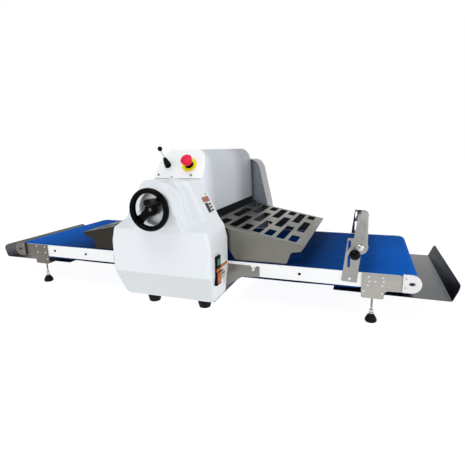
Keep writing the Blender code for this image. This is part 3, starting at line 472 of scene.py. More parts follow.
def skin(shape, rows):
    """Faces between rows of vertices, each row closed on itself."""
    count = len(rows[0])
    for lower, upper in zip(rows, rows[1:]):
        for i in range(count):
            j = (i + 1) % count
            shape.faces.new((lower[i], lower[j], upper[j], upper[i]))


def open_skin(rows):
    """Shape from rows of points that are open at both ends."""
    shape = bmesh.new()
    rows = [[shape.verts.new(point) for point in row] for row in rows]
    for first, second in zip(rows, rows[1:]):
        for i in range(len(first) - 1):
            shape.faces.new((first[i], first[i + 1], second[i + 1], second[i]))
    return shape, rows


def cap(shape, rows):
    """Flat ends on a skin."""
    shape.faces.new(list(reversed(rows[0])))
    shape.faces.new(rows[-1])


def to_y():
    """Local Z along +Y."""
    return Matrix.Rotation(-math.pi / 2, 4, "X")


def to_front():
    """Local Z along -Y, local Y along +Z."""
    return Matrix.Rotation(math.pi / 2, 4, "X")


def at(x, y, z):
    return Matrix.Translation((x, y, z))


def arc(centre, radius, start, end, count):
    """Points along an arc, with angles in degrees from +X towards the second axis."""
    points = []
    for i in range(count + 1):
        angle = math.radians(start + (end - start) * i / count)
        points.append((centre[0] + radius * math.cos(angle),
                       centre[1] + radius * math.sin(angle)))
    return points


def circle(centre, radius, count=48):
    return arc(centre, radius, 0, 360, count)[:-1]


def rounded(outline, radius, count=5):
    """Rounds the corners of an outline; radius is one value or one for each corner."""
    radii = radius if isinstance(radius, (list, tuple)) else [radius] * len(outline)
    points = []
    for i, corner in enumerate(outline):
        here = Vector(corner)
        if radii[i] <= 0:
            points.append(tuple(here))
            continue
        before = (Vector(outline[i - 1]) - here).normalized()
        after = (Vector(outline[(i + 1) % len(outline)]) - here).normalized()
        half = before.angle(after) / 2
        centre = here + (before + after).normalized() * (radii[i] / math.sin(half))
        reach = radii[i] / math.tan(half)
        first = here + before * reach - centre
        last = here + after * reach - centre
        turn = math.atan2(first.x * last.y - first.y * last.x, first.dot(last))
        for step in range(count + 1):
            points.append(tuple(centre + Matrix.Rotation(turn * step / count, 2) @ first))
    return points


def mirrored(half):
    """Closes a half outline, given up its +X side, with its mirror image."""
    return list(half) + [(-x, z) for x, z in reversed(half)]


def lathe(profile, matrix=None, steps=48):
    """Solid or ring turned about local Z; the profile is (radius, height) from end to end."""
    shape = bmesh.new()
    rows = []
    for radius, height in profile:
        if radius < 1e-6:
            rows.append([shape.verts.new((0, 0, height))])
            continue
        row = [shape.verts.new((radius * math.cos(math.tau * i / steps),
                                radius * math.sin(math.tau * i / steps), height))
               for i in range(steps)]
        rows.append(row)
    closed = len(rows[0]) > 1 and len(rows[-1]) > 1
    pairs = list(zip(rows, rows[1:]))
    if closed:
        pairs.append((rows[-1], rows[0]))
    for upper, lower in pairs:
        for i in range(steps):
            j = (i + 1) % steps
            if len(upper) == 1:
                shape.faces.new((upper[0], lower[i], lower[j]))
            elif len(lower) == 1:
                shape.faces.new((upper[i], lower[0], upper[j]))
            else:
                shape.faces.new((upper[i], lower[i], lower[j], upper[j]))
    return outward(shape, matrix)


def softened(profile, radius, count=3):
    """Rounds the inner corners of an open (radius, height) profile."""
    points = [profile[0]]
    for before, here, after in zip(profile, profile[1:], profile[2:]):
        a, b = Vector(before) - Vector(here), Vector(after) - Vector(here)
        reach = min(radius, a.length * 0.45, b.length * 0.45)
        if a.length < 1e-6 or b.length < 1e-6 or reach < 1e-6:
            points.append(here)
            continue
        first, last = Vector(here) + a.normalized() * reach, Vector(here) + b.normalized() * reach
        for step in range(count + 1):
            t = step / count
            points.append(tuple(first.lerp(Vector(here), t).lerp(Vector(here).lerp(last, t), t)))
    points.append(profile[-1])
    return points


def outline_curve(outlines, **settings):
    """Mesh of a filled 2D curve; outlines after the first are holes."""
    curve = bpy.data.curves.new("plate", "CURVE")
    curve.dimensions = "2D"
    curve.fill_mode = "BOTH"
    for name, setting in settings.items():
        setattr(curve, name, setting)
    for outline in outlines:
        spline = curve.splines.new("POLY")
        spline.points.add(len(outline) - 1)
        for point, place in zip(spline.points, outline):
            point.co = (*place, 0.0, 1.0)
        spline.use_cyclic_u = True
    mesh = evaluated_mesh(linked("plate_outline", curve))
    shape = shape_of(mesh)
    bmesh.ops.remove_doubles(shape, verts=shape.verts, dist=WELD)
    return shape


def turned(profile, radius, matrix=None, steps=48, count=3):
    """Lathe of a profile whose inner corners are rounded."""
    return lathe(softened(profile, radius, count), matrix, steps)


def filled(outlines, thickness, matrix=None, edge=0.0004, steps=2):
    """Plate with rounded edges; outlines after the first are holes."""
    edge = min(edge, thickness * 0.45)
    shape = outline_curve(outlines, extrude=thickness / 2 - edge, bevel_depth=edge,
                          bevel_resolution=steps, offset=-edge)
    return outward(shape, matrix)


def plate_xz(outlines, y0, y1, edge=0.0004):
    """Plate whose outlines lie in X and Z, from y0 to y1."""
    return filled(outlines, abs(y1 - y0), at(0, (y0 + y1) / 2, 0) @ to_front(), edge)


def block(low, high, edge=0.0005):
    """Box with rounded edges."""
    low, high = Vector(low), Vector(high)
    shape = bmesh.new()
    bmesh.ops.create_cube(shape, size=1.0)
    bmesh.ops.scale(shape, vec=high - low, verts=shape.verts)
    bmesh.ops.translate(shape, vec=(low + high) / 2, verts=shape.verts)
    bmesh.ops.bevel(shape, geom=shape.edges[:], offset=edge, segments=3, profile=0.5,
                    affect="EDGES", clamp_overlap=True)
    return to_mesh(shape)


def loft(rings, closed=True):
    """Skin through rings of equal point count, with flat ends if closed."""
    shape = bmesh.new()
    rows = [[shape.verts.new(point) for point in ring] for ring in rings]
    skin(shape, rows)
    if closed:
        cap(shape, rows)
    return outward(shape)


def thickened(mesh, thickness, offset=-1.0):
    """Open skin given a wall; offset -1 puts it on the inner side."""
    holder = linked("skin", mesh)
    solid = holder.modifiers.new("wall", "SOLIDIFY")
    solid.thickness = thickness
    solid.offset = offset
    solid.use_even_offset = True
    solid.use_quality_normals = True
    return evaluated_mesh(holder)


def linked(name, data):
    """A new object in the scene."""
    made = bpy.data.objects.new(name, data)
    bpy.context.scene.collection.objects.link(made)
    return made


def evaluated_mesh(holder):
    """The mesh of an object with its modifiers; the object itself goes."""
    bpy.context.view_layer.update()
    evaluated = holder.evaluated_get(bpy.context.evaluated_depsgraph_get())
    made = bpy.data.meshes.new_from_object(evaluated)
    bpy.data.objects.remove(holder, do_unlink=True)
    return made


def refined(node, edge=0.0005, look=None, angle=28.0, segments=2):
    """The CAD node's own shape with its edges rounded."""
    shape = shape_of(frame["nodes"][node].data)
    bmesh.ops.remove_doubles(shape, verts=shape.verts, dist=WELD)
    bmesh.ops.dissolve_limit(shape, angle_limit=math.radians(0.5), verts=shape.verts,
                             edges=shape.edges)
    sharp = [e for e in shape.edges if len(e.link_faces) == 2
             and e.calc_face_angle(0.0) > math.radians(angle)]
    bmesh.ops.bevel(shape, geom=sharp, offset=edge, segments=segments, profile=0.5,
                    affect="EDGES", clamp_overlap=True)
    mesh = to_mesh(shape)
    mesh.materials.clear()
    return stand_in(node + "_shape", mesh, node, look, world=True)


# ---- fasteners ------------------------------------------------------------------------------
def polar_ring(shape, steps, height, radius_at):
    """Vertices round local Z, the radius given by the angle."""
    ring = []
    for i in range(steps):
        angle = math.tau * i / steps
        radius = radius_at(angle)
        ring.append(shape.verts.new((radius * math.cos(angle), radius * math.sin(angle), height)))
    return ring


def hexagon(apothem):
    """Radius of a hexagon at an angle."""
    sixth = math.pi / 3
    return lambda angle: apothem / math.cos((angle % sixth) - sixth / 2)


def cross(arm, waist):
    """Radius of a four-armed recess at an angle."""
    return lambda angle: waist + (arm - waist) * max(0.0, math.cos(2 * angle)) ** 4 \
        if math.cos(4 * angle) > 0.2 else waist


def round_of(radius):
    return lambda angle: radius


def screw_head(radius, height, socket, matrix):
    """Domed head with a recess in it; local Z points out."""
    steps = 24
    shape = bmesh.new()
    rim = height * 0.25
    shapes = [(0.0, round_of(radius)), (rim, round_of(radius))]
    for i in range(1, 5):
        angle = math.radians(16 * i)
        shapes.append((rim + (height - rim) * math.sin(angle) / math.sin(math.radians(64)),
                       round_of(radius * (1 - 0.42 * (1 - math.cos(angle)) / 0.56))))
    shapes += [(height, socket), (height * 0.35, socket)]
    rings = [polar_ring(shape, steps, z, radius_at) for z, radius_at in shapes]
    skin(shape, rings)
    cap(shape, rings)
    return outward(shape, matrix)


def hex_nut(across, height, bore, matrix):
    """Nut with chamfered corners; local Z points out."""
    steps = 48
    apothem = across / 2
    shape = bmesh.new()
    corner = hexagon(apothem)
    chamfer = apothem * 1.04
    trim = height * 0.14

    def clipped(angle):
        return min(corner(angle), chamfer)

    levels = [(0.0, round_of(bore)), (0.0, clipped), (trim, corner), (height - trim, corner),
              (height, clipped), (height, round_of(bore))]
    rings = [polar_ring(shape, steps, z, radius_at) for z, radius_at in levels]
    skin(shape, rings + rings[:1])
    return outward(shape, matrix)


def facing(end):
    """Local Z along the outward Y of an end, front -1 or rear 1."""
    return to_front() if end < 0 else to_y()


def screw_group(name, places, radius, height, socket, look, body, slot):
    """Identical screws as one piece; places are matrices whose Z points out."""
    heads = [screw_head(radius, height, socket, place) for place in places]
    return add(name, merged(*heads), look, body, slot)


# ---- housings -------------------------------------------------------------------------------
def housing_ring(level, back_y):
    """Plan outline of the front housing at one level."""
    z, half_width, front_y = level
    radius = HOUSING_CORNER_R
    right = arc((half_width - radius, front_y + radius), radius, 0, -90, 8)
    left = arc((radius - half_width, front_y + radius), radius, -90, -180, 8)
    plan = [(half_width, back_y)] + right + left + [(-half_width, back_y)]
    return [(x, y, z) for x, y in plan]


def boss_ring(y, radius):
    """Arch round the wheel shaft whose legs flare out and run into the ledge."""
    foremost, foot_z = BOSS_FOOT
    knee = radius + (SHAFT_Z - BOSS_KNEE_Z) * math.tan(BOSS_FLARE)
    foot = radius + (SHAFT_Z - foot_z) * math.tan(BOSS_FLARE)
    foot_y = max(y, foremost)
    arch = [(x, y, z) for x, z in arc((0, SHAFT_Z), radius, 0, 180, 40)]
    return [(foot, foot_y, foot_z), (knee, y, BOSS_KNEE_Z), *arch, (-knee, y, BOSS_KNEE_Z),
            (-foot, foot_y, foot_z)]


def front_shell():
    """Moulded front housing: fused, smoothed, trimmed and given its wall."""
    voxel = 0.0026
    passes = 6
    past_rim = 0.020
    solid = merged(loft([housing_ring(level, past_rim - PLATE_Y) for level in HOUSING_LEVELS]),
                   loft([boss_ring(y, r) for y, r in BOSS_STEPS]))
    holder = linked("housing", solid)
    remesh = holder.modifiers.new("fuse", "REMESH")
    remesh.mode = "VOXEL"
    remesh.voxel_size = voxel
    smooth = holder.modifiers.new("soften", "SMOOTH")
    smooth.factor = 0.5
    smooth.iterations = passes
    shape = shape_of(evaluated_mesh(holder))
    trim(shape, (0, -PLATE_Y, 0), (0, 1, 0))
    trim(shape, (0, 0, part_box("front_cover")[0].z), (0, 0, -1))
    open_round_hole(shape, SHAFT_Z, 0.0112, -0.440)
    mesh = thickened(to_mesh(shape), WALL)
    stand_in("front_housing", mesh, "front_cover", sharp=50)


def trim(shape, point, normal, snap=1e-6, clear=True):
    """Cuts along a plane, and takes away what lies beyond it if clear is set."""
    bmesh.ops.bisect_plane(shape, geom=shape.verts[:] + shape.edges[:] + shape.faces[:],
                           dist=snap, plane_co=point, plane_no=normal, clear_outer=clear)


def open_round_hole(shape, z, radius, before_y):
    """Opens a round hole about the wheel's axis in the faces in front of before_y."""
    def off(vert):
        return math.hypot(vert.co.x, vert.co.z - z)

    inner = [f for f in shape.faces if f.calc_center_median().y < before_y
             and all(off(v) < radius for v in f.verts)]
    bmesh.ops.delete(shape, geom=inner, context="FACES")
    for vert in shape.verts:
        if vert.is_boundary and vert.co.y < before_y and off(vert) < radius * 1.5:
            scale = radius / off(vert)
            vert.co.x *= scale
            vert.co.z = z + (vert.co.z - z) * scale


def rear_outline():
    """Outline of the rear housing seen along Y."""
    radii = [0.018, 0.030, 0.060, 0.120, 0.120, 0.060, 0.030, 0.030, 0.018]
    return rounded(mirrored(REAR_OUTLINE), radii + radii[::-1], 6)


def inset(outline, distance):
    """Closed outline moved inwards, square to its sides."""
    moved = []
    count = len(outline)
    for i, corner in enumerate(outline):
        along = (Vector(outline[(i + 1) % count]) - Vector(outline[i - 1])).normalized()
        moved.append((corner[0] - distance * along.y, corner[1] + distance * along.x))
    return moved


def rear_shell():
    """Moulded rear housing with a rounded back edge, open towards the side plate."""
    outline = rear_outline()
    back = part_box("rear_cover")[1].y - MID_Y
    stations = [(PLATE_Y, 0.0), (PLATE_Y + 0.03, 0.0), (PLATE_Y + 0.07, 0.0)]
    for i in range(9):
        angle = math.radians(90 * i / 8)
        stations.append((back - REAR_EDGE * (1 - math.sin(angle)),
                         REAR_EDGE * (1 - math.cos(angle))))
    rings = [[(x, y, z) for x, z in inset(outline, step)] for y, step in stations]
    shape = shape_of(loft(rings, closed=False))
    edges = [e for e in shape.edges if e.is_boundary
             and all(abs(v.co.y - back) < 1e-5 for v in e.verts)]
    bmesh.ops.edgeloop_fill(shape, edges=edges)
    mesh = outward(shape)
    if max(mesh.polygons, key=lambda p: p.center.y).normal.y <= 0:
        mesh.flip_normals()
    stand_in("rear_housing", thickened(mesh, WALL), "rear_cover", REAR_WHITE_SHADED, sharp=50)


def hood_outline():
    """Section of the hood, with a point on each side at the height of the panel's foot."""
    outline = rounded(mirrored(COVER_OUTLINE), [0, 0.2, 0.07, 0.03, 0.03, 0.03, 0.014]
                      + [0.014, 0.03, 0.03, 0.03, 0.07, 0.2, 0], 5)
    points = [outline[0]]
    for here, there in zip(outline, outline[1:]):
        share = (PANEL_FOOT.z - here[1]) / ((there[1] - here[1]) or 1.0)
        if 0.0 < share < 1.0:
            points.append((here[0] + (there[0] - here[0]) * share, PANEL_FOOT.z))
        points.append(there)
    return points


def panel_matrix(lift=0.0):
    """Frame of the control panel: X across it, Y up its slope, Z out of it."""
    return at(*PANEL_FOOT) @ Matrix.Rotation(PANEL_TILT, 4, "X") @ at(0, 0, lift)


def hood():
    """Folded sheet hood, its front edge cut along the sloping panel."""
    outline = hood_outline()
    back = PLATE_Y - GAP
    run = math.tan(PANEL_TILT)

    def front(z):
        return max(-PLATE_Y + GAP, PANEL_FOOT.y + (z - PANEL_FOOT.z) / run + 0.0006)

    rings = []
    for share in (0.0, 0.02, 0.35, 0.70, 1.0):
        rings.append([(x, front(z) + (back - front(z)) * share, z) for x, z in outline])
    shape, rows = open_skin(rings)
    shape.faces.new(list(reversed(rows[-1])))
    mesh = outward(shape)
    if max(mesh.polygons, key=lambda p: p.center.z).normal.z < 0:
        mesh.flip_normals()
    cover = stand_in("roller_hood", thickened(mesh, 0.0015), "roller_cover", HOOD_WHITE_SHADED,
                     sharp=40)
    paint_inner_shade(cover)
    for side, sign in SIDES:
        corner = [(sign * x, z) for x, z in ((0.055, 0.4300), (0.0960, 0.4300),
                                             (0.0950, 0.4562), (0.055, 0.4562))]
        flange = plate_xz([corner], GAP - PLATE_Y + 0.0001, 0.0012 - PLATE_Y, 0.0003)
        add(f"hood_flange_{side}", flange, HOOD_WHITE_SHADED, "frame", "white_paint")


def paint_inner_shade(cover):
    """Painted shade: a dark coat on the hood's inner faces."""
    mesh = cover.data
    mesh.materials.append(INNER_SHADE)
    axis = Vector((0.0, 0.0, 0.40))
    for face in mesh.polygons:
        out = face.center - axis
        out.y = 0.0
        flat = Vector((face.normal.x, 0.0, face.normal.z))
        if flat.length > 0.5 and flat.dot(out) < 0.0:
            face.material_index = 1


def panel():
    """Control panel plate with its screws."""
    rise = math.sin(PANEL_TILT)
    half = [(0.0950, 0.0)] + [(x, (z - PANEL_FOOT.z) / rise) for x, z in COVER_OUTLINE[2:]]
    outline = rounded(mirrored(half), [0.001, 0.06, 0.03, 0.02, 0.02, 0.010]
                      + [0.010, 0.02, 0.02, 0.03, 0.06, 0.001], 4)
    stand_in("panel_plate", filled([outline], PANEL_T, panel_matrix(PANEL_T / 2), 0.0009, 3),
             "control_panel", PANEL_WHITE)
    places = [panel_matrix(PANEL_T) @ at(x, y, 0) for x, y in ((-0.0794, 0.0141),
                                                               (0.0498, 0.0127))]
    screw_group("panel_screws", places, 0.0046, 0.0024, cross(0.0026, 0.0009),
                SCREW_STEEL, "frame", "chrome")
    small = [panel_matrix(PANEL_T) @ at(-0.0235, 0.0048, 0)]
    screw_group("panel_centre_screw", small, 0.0034, 0.0016, cross(0.0018, 0.0006),
                SCREW_STEEL, "frame", "chrome")


def side_plates():
    """Side plates and base pan in the CAD's shapes, with two screws in the rear plate."""
    for node in ("front_side_plate", "rear_side_plate"):
        refined(node, 0.0008)
    places = [at(x, PLATE_Y, z) @ facing(-1) for x, z in ((0.1294, 0.4055), (0.1450, 0.3880))]
    screw_group("rear_plate_screws", places, 0.0036, 0.0018, hexagon(0.0014),
                LOOKS["steel"], "frame", "steel")
    refined("base_pan", 0.0006, LOOKS["white_paint"])


def housing_feet():
    """Rubber feet with a grooved side and a hollow underneath."""
    for end, _ in ENDS:
        for side, _ in SIDES:
            node = f"housing_foot_{side}_{end}"
            centre, top = middle(node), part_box(node)[1].z
            profile = [(0, top), (0.0262, top), (0.0265, top - 0.003), (0.0262, 0.027),
                       (0.0240, 0.0255), (0.0238, 0.0240), (0.0252, 0.0225), (0.0228, 0.010),
                       (0.0212, 0.0085), (0.0220, 0.0070), (0.0200, 0.0), (0.0120, 0.0),
                       (0.0110, 0.003), (0, 0.003)]
            mesh = turned(profile, 0.0012, at(centre.x, centre.y, 0), 56)
            stand_in(f"rubber_foot_{side}_{end}", mesh, node, world=True)


def gland():
    """Cable gland with a hexagon base and a ribbed cap nut."""
    low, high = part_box("power_inlet")
    y0 = low.y - MID_Y
    centre = middle("power_inlet")
    place = at(centre.x, y0, centre.z) @ to_y()
    length = high.y - low.y
    foot = 0.0075
    base = hex_nut(0.0235, foot, 0.006, place)
    ribs = 18

    def ribbed(radius):
        return lambda a: radius * (1 - 0.035 * (0.5 + 0.5 * math.cos(ribs * a)))

    bore = round_of(0.0045)
    levels = [(foot, ribbed(0.0098)), (0.0165, ribbed(0.0098)), (length - 0.003, ribbed(0.0088)),
              (length, ribbed(0.0072)), (length, bore), (foot, bore)]
    shape = bmesh.new()
    rings = [polar_ring(shape, ribs * 4, z, radius_at) for z, radius_at in levels]
    skin(shape, rings + rings[:1])
    stand_in("cable_gland", merged(base, outward(shape, place)), "power_inlet")


# ---- handwheel and controls -----------------------------------------------------------------
def handwheel():
    """Moulded wheel: deep rim, two flat spokes that flare into it, sunk hub and screw."""
    rim_r = 0.0085
    radius = size("handwheel").x / 2 - rim_r
    rim = lathe([(radius + rim_r * math.cos(a), rim_r * 1.48 * math.sin(a))
                 for a in (math.tau * i / 24 for i in range(24))], None, 96)
    half = [(radius, -0.0175), (radius, 0.0175), (0.038, 0.0120), (0.014, 0.0135),
            (-0.014, 0.0135), (-0.038, 0.0120)]
    bar = half + [(-x, -y) for x, y in half]
    outline = rounded(bar, [0.001, 0.001, 0.03, 0.02, 0.02, 0.03] * 2, 5)
    spoke_turn = Matrix.Rotation(SPOKE_ANGLE, 4, "Z")
    spokes = filled([outline], 0.0080, at(0, 0, WHEEL_Y - SPOKE_Y) @ spoke_turn, 0.0022, 4)
    hub = turned([(0, -0.0068), (0.0080, -0.0068), (0.0080, -0.0035), (0.0180, -0.0035),
                  (0.0196, -0.0050), (0.0214, -0.0165), (0.0210, -0.0195), (0, -0.0195)],
                 0.0012, None, 56)
    front = at(0, WHEEL_Y, SHAFT_Z) @ to_front()
    pad = turned([(0, 0.0136), (0.0070, 0.0136), (0.0078, 0.0050), (0.0080, -0.0080),
                  (0, -0.0080)], 0.001, spoke_turn @ at(0.050, 0, 0), 32)
    wheel = merged(rim, spokes, hub, pad)
    wheel.transform(front)
    stand_in("hand_wheel", wheel, "handwheel")
    screw_group("wheel_screw", [front @ at(0, 0, -0.0067)], 0.0060, 0.0030, hexagon(0.0026),
                SCREW_STEEL, "handwheel", "chrome")


def grip():
    """Turning grip: tapered, with a swelled end and a steel collar at its foot."""
    low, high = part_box("wheel_grip")
    centre = middle("wheel_grip")
    base_y = high.y - MID_Y
    length = high.y - low.y
    place = at(centre.x, base_y, centre.z) @ to_front()
    body = [(0, length), (0.0045, length - 0.0004), (0.0080, length - 0.0025),
            (0.0102, length - 0.0065), (0.0110, length - 0.0130), (0.0108, length - 0.020),
            (0.0098, length - 0.032), (0.0085, length - 0.045), (0.0076, 0.010),
            (0.0074, 0.0045), (0.0066, 0.0030), (0, 0.0030)]
    stand_in("grip_handle", turned(body, 0.003, place, count=4), "wheel_grip", GLOSS_BLACK)
    collar = [(0, 0.0030), (0.0062, 0.0030), (0.0062, 0.0), (0, 0.0)]
    add("grip_collar", turned(collar, 0.0004, place, 32), LOOKS["steel"], "wheel_grip", "steel")


def dial():
    """Spun plate behind the wheel with an engraved scale of plain ticks."""
    low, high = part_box("dial_plate")
    y0, y1 = low.y - MID_Y, high.y - MID_Y
    radius = size("dial_plate").x / 2
    profile = [(0.0107, y1), (0.0107, y0), (radius - 0.0015, y0), (radius, y0 + 0.0015),
               (radius, y1)]
    stand_in("dial_face", lathe(profile, at(0, 0, SHAFT_Z) @ to_y(), 96), "dial_plate")
    ticks = []
    for i in range(41):
        angle = math.radians(-150 + 300 * i / 40)
        long = i % 5 == 0
        outer, inner = radius - 0.003, radius - (0.010 if long else 0.0065)
        half = 0.0005 if long else 0.0003
        tick = block((-half, y0 - 0.00012, inner), (half, y0 + 0.0003, outer), 0.00005)
        tick.transform(at(0, 0, SHAFT_Z) @ Matrix.Rotation(angle, 4, "Y"))
        ticks.append(tick)
    add("dial_ticks", merged(*ticks), PRINT, "frame", "dial_grey")


def joystick():
    """Ball lever in a ribbed boot on a flange."""
    flat = panel_matrix(PANEL_T + GAP) @ at(JOYSTICK_AT[0], JOYSTICK_AT[1], 0)
    flange = [(0, 0.0045), (0.0040, 0.0042), (0.0066, 0.0032), (0.0080, 0.0022),
              (0.0120, 0.0022), (0.0125, 0.0), (0, 0.0)]
    add("joystick_flange", turned(flange, 0.0005, flat @ at(0, 0, -GAP), 56),
        LOOKS["black_plastic"], "frame", "black_plastic")
    base = flat @ Matrix.Rotation(-LEVER_LEAN, 4, "X")
    top = 0.0370
    boot = [(0, top), (0.0048, top), (0.0056, top - 0.0010), (0.0058, top - 0.0035)]
    for i in range(5):
        z = top - 0.0045 - i * 0.0052
        r = 0.0062 + i * 0.00105
        boot += [(r, z), (r + 0.0011, z - 0.0016), (r + 0.0012, z - 0.0026),
                 (r + 0.0004, z - 0.0042)]
    boot += [(0.0100, 0.0068), (0, 0.0068)]
    stand_in("ribbed_boot", turned(boot, 0.0005, base, 56, 2), "joystick_boot")
    ball_z, ball_r = 0.0785, 0.0083
    rod = [(0, ball_z - 0.0055), (0.0020, ball_z - 0.0055), (0.0020, top + 0.0035),
           (0.0030, top + 0.0025), (0.0030, top + GAP), (0, top + GAP)]
    stand_in("lever_rod", turned(rod, 0.0004, base, 32), "joystick_lever")
    ball = lathe(knob(ball_z, ball_r, -68, 24, 0.0031, 0.0002), base)
    add("lever_ball", ball, LOOKS["black_plastic"], "joystick", "black_plastic")


def knob(z, radius, end, steps, neck, drop):
    """Profile of a ball at a height, cut off at an angle and closed by a flat neck."""
    foot = z - radius - drop
    return [(0, z + radius)] + arc((0, z), radius, 86, end, steps) + [(neck, foot), (0, foot)]


def emergency_stop():
    """Mushroom button on a collar with a plain yellow ring round it."""
    base = panel_matrix(PANEL_T + GAP) @ at(ESTOP_AT[0], ESTOP_AT[1], 0)
    ring = [(0.0158, -GAP), (0.0280, -GAP), (0.0283, 0.0011), (0.0158, 0.0011)]
    add("estop_ring", turned(ring, 0.0004, base, 72), YELLOW, "frame", "white_plastic")
    collar = [(0.0072, 0.0), (0.0155, 0.0), (0.0155, 0.0045), (0.0146, 0.0052),
              (0.0146, 0.0070), (0.0138, 0.0078), (0.0072, 0.0078)]
    stand_in("stop_collar", turned(collar, 0.0005, base, 64), "estop_collar")
    head = [(0, 0.0370), (0.0100, 0.0367), (0.0165, 0.0356), (0.0200, 0.0340), (0.0210, 0.0320),
            (0.0206, 0.0298), (0.0192, 0.0245), (0.0172, 0.0180), (0.0155, 0.0142),
            (0.0142, 0.0132), (0.0068, 0.0132), (0.0068, 0.0060), (0, 0.0060)]
    stand_in("stop_mushroom", turned(head, 0.0012, base, 72, 4), "estop_button")


def switch():
    """Framed push buttons and a plain, textless plate beside them."""
    refined("switch_plate", 0.0006)
    for node in ("start_button", "stop_button"):
        low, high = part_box(node)
        base = block(low, (high.x - 0.0012, high.y, high.z), 0.0005)
        inner = 0.0022
        crown = block((high.x - 0.0016, low.y + inner, low.z + inner),
                      (high.x, high.y - inner, high.z - inner), 0.0006)
        stand_in(node + "_cap", merged(base, crown), node, world=True,
                 look=ORANGE if node == "stop_button" else None)
    switch_card()


def switch_card():
    """Plain card behind the buttons, crossed by a coloured band, with dark bars."""
    y0, y1 = -0.3660, -0.3000
    band = (0.1635, 0.1740)
    patch("switch_card", flank_points(y0, y1, 0.1120, 0.1518), CARD, "white_plastic")
    patch("switch_card_top", flank_points(y0, y1, 0.1522, band[0]), CARD, "white_plastic")
    patch("switch_band", flank_points(-0.3740, -0.2990, *band), ORANGE, "red_plastic")
    low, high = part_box("switch_plate")
    across = [Vector((high.x, y - MID_Y, z)) for y, z in (
        (low.y, band[0]), (high.y, band[0]), (high.y, band[1]), (low.y, band[1]))]
    patch("switch_band_front", across, ORANGE, "red_plastic")
    bars = ((-0.3610, -0.3370, 0.1490, 0.1560), (-0.3540, -0.3230, 0.1370, 0.1440),
            (-0.3610, -0.3100, 0.1290, 0.1310), (-0.3610, -0.3150, 0.1220, 0.1240))
    for i, bar in enumerate(bars):
        patch(f"switch_card_bar_{i}", flank_points(*bar), PRINT, "black_plastic", PRINT_LIFT)


def flank_x(z):
    """Distance of the front housing's right flank from the middle at a height."""
    for (z0, w0, _), (z1, w1, _) in zip(HOUSING_LEVELS, HOUSING_LEVELS[1:]):
        if z0 <= z <= z1:
            return w0 + (w1 - w0) * (z - z0) / (z1 - z0)
    return HOUSING_LEVELS[-1][1]


def flank_points(y0, y1, z0, z1):
    """Corners of a patch on the right flank, counter-clockwise seen from outside."""
    return [Vector((flank_x(z), y, z)) for y, z in ((y0, z0), (y1, z0), (y1, z1), (y0, z1))]


def patch(name, corners, look, slot, lift=0.0006):
    """Thin plain plate on a flat stretch of the housing, sunk a little into it."""
    normal = (corners[1] - corners[0]).cross(corners[3] - corners[0]).normalized()
    shape = bmesh.new()
    rows = [[shape.verts.new(corner + normal * height) for corner in corners]
            for height in (-PATCH_SINK, lift)]
    cap(shape, rows)
    skin(shape, rows)
    bmesh.ops.bevel(shape, geom=shape.edges[:], offset=0.0001, segments=1, affect="EDGES")
    add(name, to_mesh(shape), look, "frame", slot)


def shoulder_label():
    """Plain label high on the right flank, with a small screw above it."""
    y0, y1 = -0.3560, -0.3040
    patch("shoulder_card", flank_points(y0, y1, 0.3440, 0.3995), CARD, "white_plastic")
    patch("shoulder_band", flank_points(y0, y1, 0.3830, 0.3995), RUST, "red_plastic",
          PRINT_LIFT)
    patch("shoulder_block", flank_points(y0 + 0.003, y0 + 0.026, 0.3490, 0.3800), PRINT,
          "black_plastic", PRINT_LIFT)
    for i in range(3):
        z = 0.3510 + i * 0.0100
        patch(f"shoulder_bar_{i}", flank_points(y0 + 0.029, y1 - 0.003, z, z + 0.0055), PRINT,
              "black_plastic", PRINT_LIFT)
    (z0, w0, _), (z1, w1, _) = HOUSING_LEVELS[5:7]
    screw_z = 0.4070
    place = at(flank_x(screw_z), -0.3130, screw_z) @ Matrix.Rotation(
        math.pi / 2 - math.atan2(w0 - w1, z1 - z0), 4, "Y")
    screw_group("shoulder_screw", [place], 0.0030, 0.0016, cross(0.0017, 0.0006), SCREW_STEEL,
                "frame", "chrome")


# ---- tables ---------------------------------------------------------------------------------
def loop_outline(circles, offset):
    """Outline of a band pulled round circles of (x, z, radius), offset outwards."""
    points = []
    for x, z, radius in circles:
        points += circle((x, z), radius + offset, 128)
    vectors = [Vector(point) for point in points]
    return [tuple(vectors[i]) for i in convex_hull_2d(vectors)]


def belt(side, sign):
    """Belt band: top run flat, return run in a shallow sag, woven face."""
    drive, end = middle(f"{side}_drive_roller"), middle(f"{side}_end_roller")
    drive_r, end_r = size(f"{side}_drive_roller").z / 2, size(f"{side}_end_roller").z / 2
    thick = 0.0022
    sag_r = 0.004
    circles = [(drive.x, drive.z, drive_r + GAP), (end.x, end.z, end_r + GAP)]
    for x, z in ((0.20, 0.1115), (0.42, 0.1105), (0.62, 0.1135)):
        circles.append((sign * x, z + thick + sag_r, sag_r))
    half = size(f"{side}_belt").y / 2
    rings = []
    for y, grow in ((-half, 0.0003), (-half + 0.0003, 0.0), (-half + 0.001, 0.0), (0, 0.0),
                    (half - 0.001, 0.0), (half - 0.0003, 0.0), (half, 0.0003)):
        rings.append((y, thick - GAP - grow, grow))
    outer = [[(x, y, z) for x, z in resampled(loop_outline(circles, o))] for y, o, _ in rings]
    inner = [[(x, y, z) for x, z in resampled(loop_outline(circles, i))] for y, _, i in rings]
    shape = shape_of(loft(outer + inner[::-1] + outer[:1], closed=False))
    bmesh.ops.remove_doubles(shape, verts=shape.verts, dist=4 * WELD)
    stand_in(f"{side}_belt_band", outward(shape), f"{side}_belt", sharp=50)


